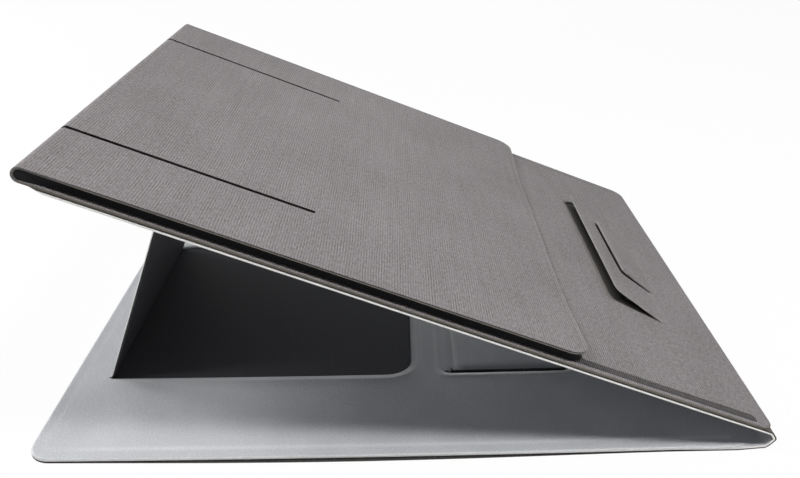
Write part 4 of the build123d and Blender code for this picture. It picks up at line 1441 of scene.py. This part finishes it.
# %% Ribbed gussets
GUSSET_LOW_X = -94 * MM
GUSSET_BOW = 1.2 * MM
GUSSET_T = 0.7 * MM
FLARE = 2.1 * MM
FLARE_REACH = 20 * MM
FOLD_INNER_R = END_R - 2 * FRONT_SKIN
gusset_high = HIGH_X - 0.9 * FOLD_INNER_R
gusset_x = np.arange(gusset_high, GUSSET_LOW_X, RIB_PITCH / RIB_POINTS)[:, None]
gusset_rise = np.linspace(-1, 1, 11)[None, :]
gusset_middle = (PANEL_H + POCKET_LOW_H) / 2
gusset_reach = np.sqrt(FOLD_INNER_R**2 - np.clip(HIGH_X - gusset_x, 0, None) ** 2)
gusset_h = gusset_middle + gusset_rise * gusset_reach
past_corner = np.clip(gusset_x - MOUTH_X + MOUTH_R, 0, MOUTH_R)
round_corner = MOUTH_R - np.sqrt(MOUTH_R**2 - past_corner**2)
flare = smooth((HIGH_X + FLARE_REACH - gusset_x) / FLARE_REACH)
for side, sign in (("near", -1), ("far", 1)):
    bow = GUSSET_BOW * (1 - gusset_rise**2) * (1 - flare) + round_corner - FLARE * flare
    outside = HALF - BAND_INSET - bow + ribs(gusset_x, RIB_HEIGHT) * (1 - gusset_rise**8)
    grid_x, grid_y = np.broadcast_arrays(gusset_x, sign * outside)
    inner_y = sign * (HALF - BAND_INSET - bow - GUSSET_T) + 0 * grid_y
    gusset = shell(
        f"{side}_ribbed_gusset",
        on_leaf(grid_x, grid_y, gusset_h),
        on_leaf(grid_x, inner_y, gusset_h),
        (grid_x, gusset_h + 0 * grid_x),
        ELASTIC,
    )
    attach(gusset, "leaf")
    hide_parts(f"{side}_gusset")

# %% [markdown]
# ## The stop tab and its tongue
# A trapezoid is cut into the leaf's top and lifted, and a smaller one inside it. A laptop's front
# edge rests against them. Each is drawn flat in the leaf and then turned about its own crease: a
# point turns by a share of the lift that grows smoothly over the crease, so the skin bends there
# instead of breaking. The tab is a band that goes round three sides of the tongue.

# %% Lifted flaps
TAB_LIFT = math.radians(12)
TONGUE_LIFT = math.radians(15)
TAB_T = 0.9 * MM
TONGUE_T = 1.12 * MM
CREASE_REACH = 1.4 * MM
TONGUE_FIT = 0.25 * MM
TAB_ROLL = (0.6 * MM, 0.4 * MM)
TAB_LOW_ROLL = (0.4 * MM, 0.1 * MM)
# A painted highlight along the edges of the tab and the tongue.
TAB_HIGHLIGHT = 0.5
TAB_HIGHLIGHT_WIDTH = 1.8 * MM
TAB_POINTS = 260
TAB_STEPS = np.array([0, 0.06, 0.15, 0.3, 0.5, 0.8, 1.3]) * MM


def lifted(x, y, h, axis_x, lift):
    """Flat points on the leaf, turned about a crease at axis_x by a share of the lift that grows uphill."""
    turn = lift * smooth((axis_x + TAB_GAP - x) / CREASE_REACH)
    dx, dh = x - axis_x, h - PANEL_H
    turned_x = axis_x + dx * np.cos(turn) + dh * np.sin(turn)
    turned_h = PANEL_H - dx * np.sin(turn) + dh * np.cos(turn)
    return on_leaf(turned_x, y, turned_h)


def flap_piece(name, x, y, edge, axis_x, lift, thickness):
    """A lifted flap of skin over a thin board, with rolled edges, bent smoothly over its crease."""
    top = PANEL_H - rolled(edge, *TAB_ROLL)
    low = PANEL_H - thickness + rolled(edge, *TAB_LOW_ROLL)
    upper, lower = lifted(x, y, top, axis_x, lift), lifted(x, y, low, axis_x, lift)
    # The rim paints a highlight along the flap's edges.
    piece = shell(name, upper, lower, (x, y), TAB_LINEN, TAB_HIGHLIGHT * rim_of(edge, TAB_HIGHLIGHT_WIDTH))
    start = on_leaf(np.array(axis_x + TAB_GAP), np.array(0.0), np.array(PANEL_H))
    end = on_leaf(np.array(axis_x + TAB_GAP - CREASE_REACH), np.array(0.0), np.array(PANEL_H))
    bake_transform(piece)
    return piece

# %% The stop tab
free_x = TAB_HINGE_X - TAB_DEPTH
tab_side = [(TAB_HINGE_X + TAB_GAP, TAB_HINGE_HALF), (free_x, TAB_FREE_HALF)]
tab_outer = spaced(rounded_line(near_to_far(tab_side), [TAB_R, TAB_R]), TAB_POINTS)
tongue_free_x = TAB_HINGE_X + TONGUE_BELOW - TONGUE_DEPTH
tongue_gap_side = [
    (TAB_HINGE_X + TAB_GAP, TONGUE_HINGE_HALF),
    (tongue_free_x - TONGUE_FIT, TONGUE_FREE_HALF + TONGUE_FIT),
]
tab_inner = spaced(rounded_line(near_to_far(tongue_gap_side), [TONGUE_R, TONGUE_R]), TAB_POINTS)
tab_gap_line = tab_inner - tab_outer
tab_width = np.hypot(*tab_gap_line.T)[:, None]
tab_rows = np.concatenate(
    [TAB_STEPS + 0 * tab_width, tab_width * np.linspace(0.15, 0.85, 8), tab_width - TAB_STEPS[::-1]], 1
)
tab_x = tab_outer[:, None, 0] + tab_rows / tab_width * tab_gap_line[:, None, 0]
tab_y = tab_outer[:, None, 1] + tab_rows / tab_width * tab_gap_line[:, None, 1] + TAB_MIDDLE_Y
tab_edge = np.minimum(tab_rows, tab_width - tab_rows)
stop_tab = flap_piece("stop_tab_sheet", tab_x, tab_y, tab_edge, TAB_HINGE_X, TAB_LIFT, TAB_T)
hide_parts("stop_tab_cover", "stop_tab_crease")

# %% The tongue
tongue_hinge_x = TAB_HINGE_X + TONGUE_BELOW
tongue_side = lines(-1, 1, 0.05, [-1, 1], np.array([0, 0.002, 0.006, 0.012, 0.022, 0.04]))[None, :]
tongue_depth = TONGUE_DEPTH - corner_cut(tongue_side * TONGUE_FREE_HALF, TONGUE_FREE_HALF, TONGUE_R)
tongue_share = lines(0, 1, 0.05, [1.0], np.array([0, 0.004, 0.01, 0.02, 0.035, 0.06]))[:, None]
tongue_x = tongue_hinge_x + TAB_GAP - tongue_share * (tongue_depth + TAB_GAP)
tongue_half = TONGUE_HINGE_HALF + tongue_share * (TONGUE_FREE_HALF - TONGUE_HINGE_HALF)
tongue_y = TAB_MIDDLE_Y + tongue_side * tongue_half
tongue_edge = np.maximum(
    np.minimum(
        tongue_half - np.abs(tongue_y - TAB_MIDDLE_Y),
        inside(tongue_x, tongue_y, tongue_free_x, 0.1, TONGUE_HINGE_HALF, TONGUE_R, 0, TAB_MIDDLE_Y),
    ),
    0,
)
stop_tongue = flap_piece(
    "stop_tongue_sheet",
    tongue_x,
    tongue_y,
    tongue_edge,
    tongue_hinge_x,
    TONGUE_LIFT,
    TONGUE_T,
)
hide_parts("stop_tongue_cover", "stop_tongue_crease")

# %% [markdown]
# ## Inner pieces that keep their solid shape
# Boards, magnets, keeper plates and the black floors are flat pieces whose solids are already right.
# They keep their meshes and only get a finish.

# %% Finishes on the solids
SOLID_FINISH = {
    "board": BOARD,
    "skin": BLACK,
    "floor": BLACK,
    "keeper": STEEL,
    "magnets": NICKEL,
}
for name, node in frame["nodes"].items():
    kind = name.rsplit("_", 1)[-1]
    if kind in SOLID_FINISH:
        node.data.materials.clear()
        node.data.materials.append(SOLID_FINISH[kind])
still_plain = []
for name, node in frame["nodes"].items():
    if not node.hide_render and name.rsplit("_", 1)[-1] not in SOLID_FINISH:
        still_plain.append(name)
print("solids without a finish of their own:", still_plain)

# %% [markdown]
# ## Floor, light and camera
# The stand is on a pale floor in soft light. Large lamps stand round it, each given by its bearing
# and its height above the floor in degrees, its size, its power and its distance. A low one in front
# lights the cut edges that face the viewer. The camera looks slightly down along the stand's width.

# %% Stage
FLOOR_SIZE = 6.0
FLOOR_COLOUR = 0.9
FLOOR_FLECK = 0.01
FLOOR_GRAIN = 0.3
FLOOR_ROUGHNESS = 0.9
FLOOR_GLOW = 0.95


def seen_directly(nodes, links):
    """1 for rays from the camera and from mirrors, and 0 for rays that carry light."""
    ray = nodes.new("ShaderNodeLightPath")
    return combine(nodes, links, "MAXIMUM", ray.outputs["Is Camera Ray"], ray.outputs["Is Glossy Ray"])


def mixed_surface(nodes, links, factor, first, second, output):
    """Mixes two shaders by a factor and gives the result to an output node."""
    node = nodes.new("ShaderNodeMixShader")
    links.new(factor, node.inputs["Fac"])
    links.new(first, node.inputs[1])
    links.new(second, node.inputs[2])
    links.new(node.outputs["Shader"], nodes[output].inputs["Surface"])


floor_finish, floor_nodes, floor_links, floor_shader = new_finish("pale_floor")
paper = noise_on(floor_nodes, floor_links, object_place(floor_nodes), (FLOOR_GRAIN,) * 3)
paper_stops = [(0.0, (FLOOR_COLOUR - FLOOR_FLECK,) * 3), (1.0, (FLOOR_COLOUR,) * 3)]
paper_colour = ramp(floor_nodes, floor_links, paper, paper_stops)
floor_links.new(paper_colour, floor_shader.inputs["Base Color"])
floor_shader.inputs["Roughness"].default_value = FLOOR_ROUGHNESS
white = floor_nodes.new("ShaderNodeEmission").outputs["Emission"]
glow = combine(floor_nodes, floor_links, "MULTIPLY", seen_directly(floor_nodes, floor_links), FLOOR_GLOW)
mixed_surface(floor_nodes, floor_links, glow, floor_shader.outputs["BSDF"], white, "Material Output")
reach = FLOOR_SIZE / 2
floor_mesh = bpy.data.meshes.new("floor")
floor_mesh.from_pydata(
    [(-reach, -reach, 0), (reach, -reach, 0), (reach, reach, 0), (-reach, reach, 0)], [], [(0, 1, 2, 3)]
)
floor_mesh.materials.append(floor_finish)
floor = bpy.data.objects.new("floor", floor_mesh)
bpy.context.scene.collection.objects.link(floor)

# %% Light
SKY_STRENGTH = 0.05
LAMP_TARGET = np.array([0.0, 0.0, 0.05])
# Each lamp: bearing and height in degrees, size in metres, power in watts, distance in metres.
LAMPS = {
    "key_lamp": (318, 61, 0.16, 6.2, 1.0),
    "left_lamp": (184, 53, 0.65, 12.8, 1.7),
    "back_left_lamp": (152, 16, 0.5, 14.0, 1.7),
    "back_lamp": (85, 6, 0.4, 3.0, 1.7),
    "front_lamp": (270, 12, 0.5, 2.2, 1.7),
}


def aim(position, target):
    """A turn that points an object's -Z from a position to a target, with its Y near the vertical."""
    back = np.array(position, float) - np.array(target, float)
    back /= np.linalg.norm(back)
    right = np.cross(UPRIGHT, back)
    right /= np.linalg.norm(right)
    return Matrix(np.stack([right, np.cross(back, right), back], 1).tolist()).to_4x4()


for name, (bearing, height, size, power, distance) in LAMPS.items():
    bearing, height = math.radians(bearing), math.radians(height)
    level = math.cos(height)
    ray = np.array([level * math.cos(bearing), level * math.sin(bearing), math.sin(height)])
    position = LAMP_TARGET + distance * ray
    lamp = bpy.data.lights.new(name, "AREA")
    lamp.size = size
    lamp.energy = power
    holder = bpy.data.objects.new(name, lamp)
    holder.matrix_world = Matrix.Translation(position.tolist()) @ aim(position, LAMP_TARGET)
    bpy.context.scene.collection.objects.link(holder)

world = bpy.data.worlds.new("soft_sky")
bpy.context.scene.world = world
world.use_nodes = True
sky_nodes, sky_links = world.node_tree.nodes, world.node_tree.links
sky = sky_nodes["Background"]
sky.inputs["Color"].default_value = (1.0, 1.0, 1.0, 1.0)
sky.inputs["Strength"].default_value = SKY_STRENGTH
shown_sky = sky_nodes.new("ShaderNodeBackground")
shown_sky.inputs["Color"].default_value = (1.0, 1.0, 1.0, 1.0)
shown_sky.inputs["Strength"].default_value = 1.0
direct = seen_directly(sky_nodes, sky_links)
mixed_surface(
    sky_nodes, sky_links, direct, sky.outputs["Background"], shown_sky.outputs["Background"], "World Output"
)
bpy.context.scene.view_settings.view_transform = "Standard"

# %% Camera
FRAME_WIDTH_PX = 800
SENSOR_WIDTH = 36.0
NEAREST = 0.01
FOCAL_PX = 819
CAMERA_PLACE = np.array([3.78, -434.97, 248.32]) * MM
CAMERA_PITCH = math.radians(25.366)
CAMERA_ROLL = math.radians(-1.169)
CAMERA_YAW = math.radians(0.182)

sideways = np.array([math.cos(CAMERA_YAW), math.sin(CAMERA_YAW), 0.0])
ahead = np.array([-math.sin(CAMERA_YAW), math.cos(CAMERA_YAW), 0.0]) * math.cos(CAMERA_PITCH)
ahead = ahead - UPRIGHT * math.sin(CAMERA_PITCH)
upward = np.cross(sideways, ahead)
picture_right = sideways * math.cos(CAMERA_ROLL) + upward * math.sin(CAMERA_ROLL)
picture_top = upward * math.cos(CAMERA_ROLL) - sideways * math.sin(CAMERA_ROLL)
turned = Matrix(np.stack([picture_right, picture_top, -ahead], 1).tolist()).to_4x4()
lens = bpy.data.cameras.new("camera")
lens.sensor_width = SENSOR_WIDTH
lens.lens = SENSOR_WIDTH * FOCAL_PX / FRAME_WIDTH_PX
lens.clip_start = NEAREST
camera = bpy.data.objects.new("camera", lens)
camera.matrix_world = Matrix.Translation(CAMERA_PLACE.tolist()) @ turned
bpy.context.scene.collection.objects.link(camera)
bpy.context.scene.camera = camera
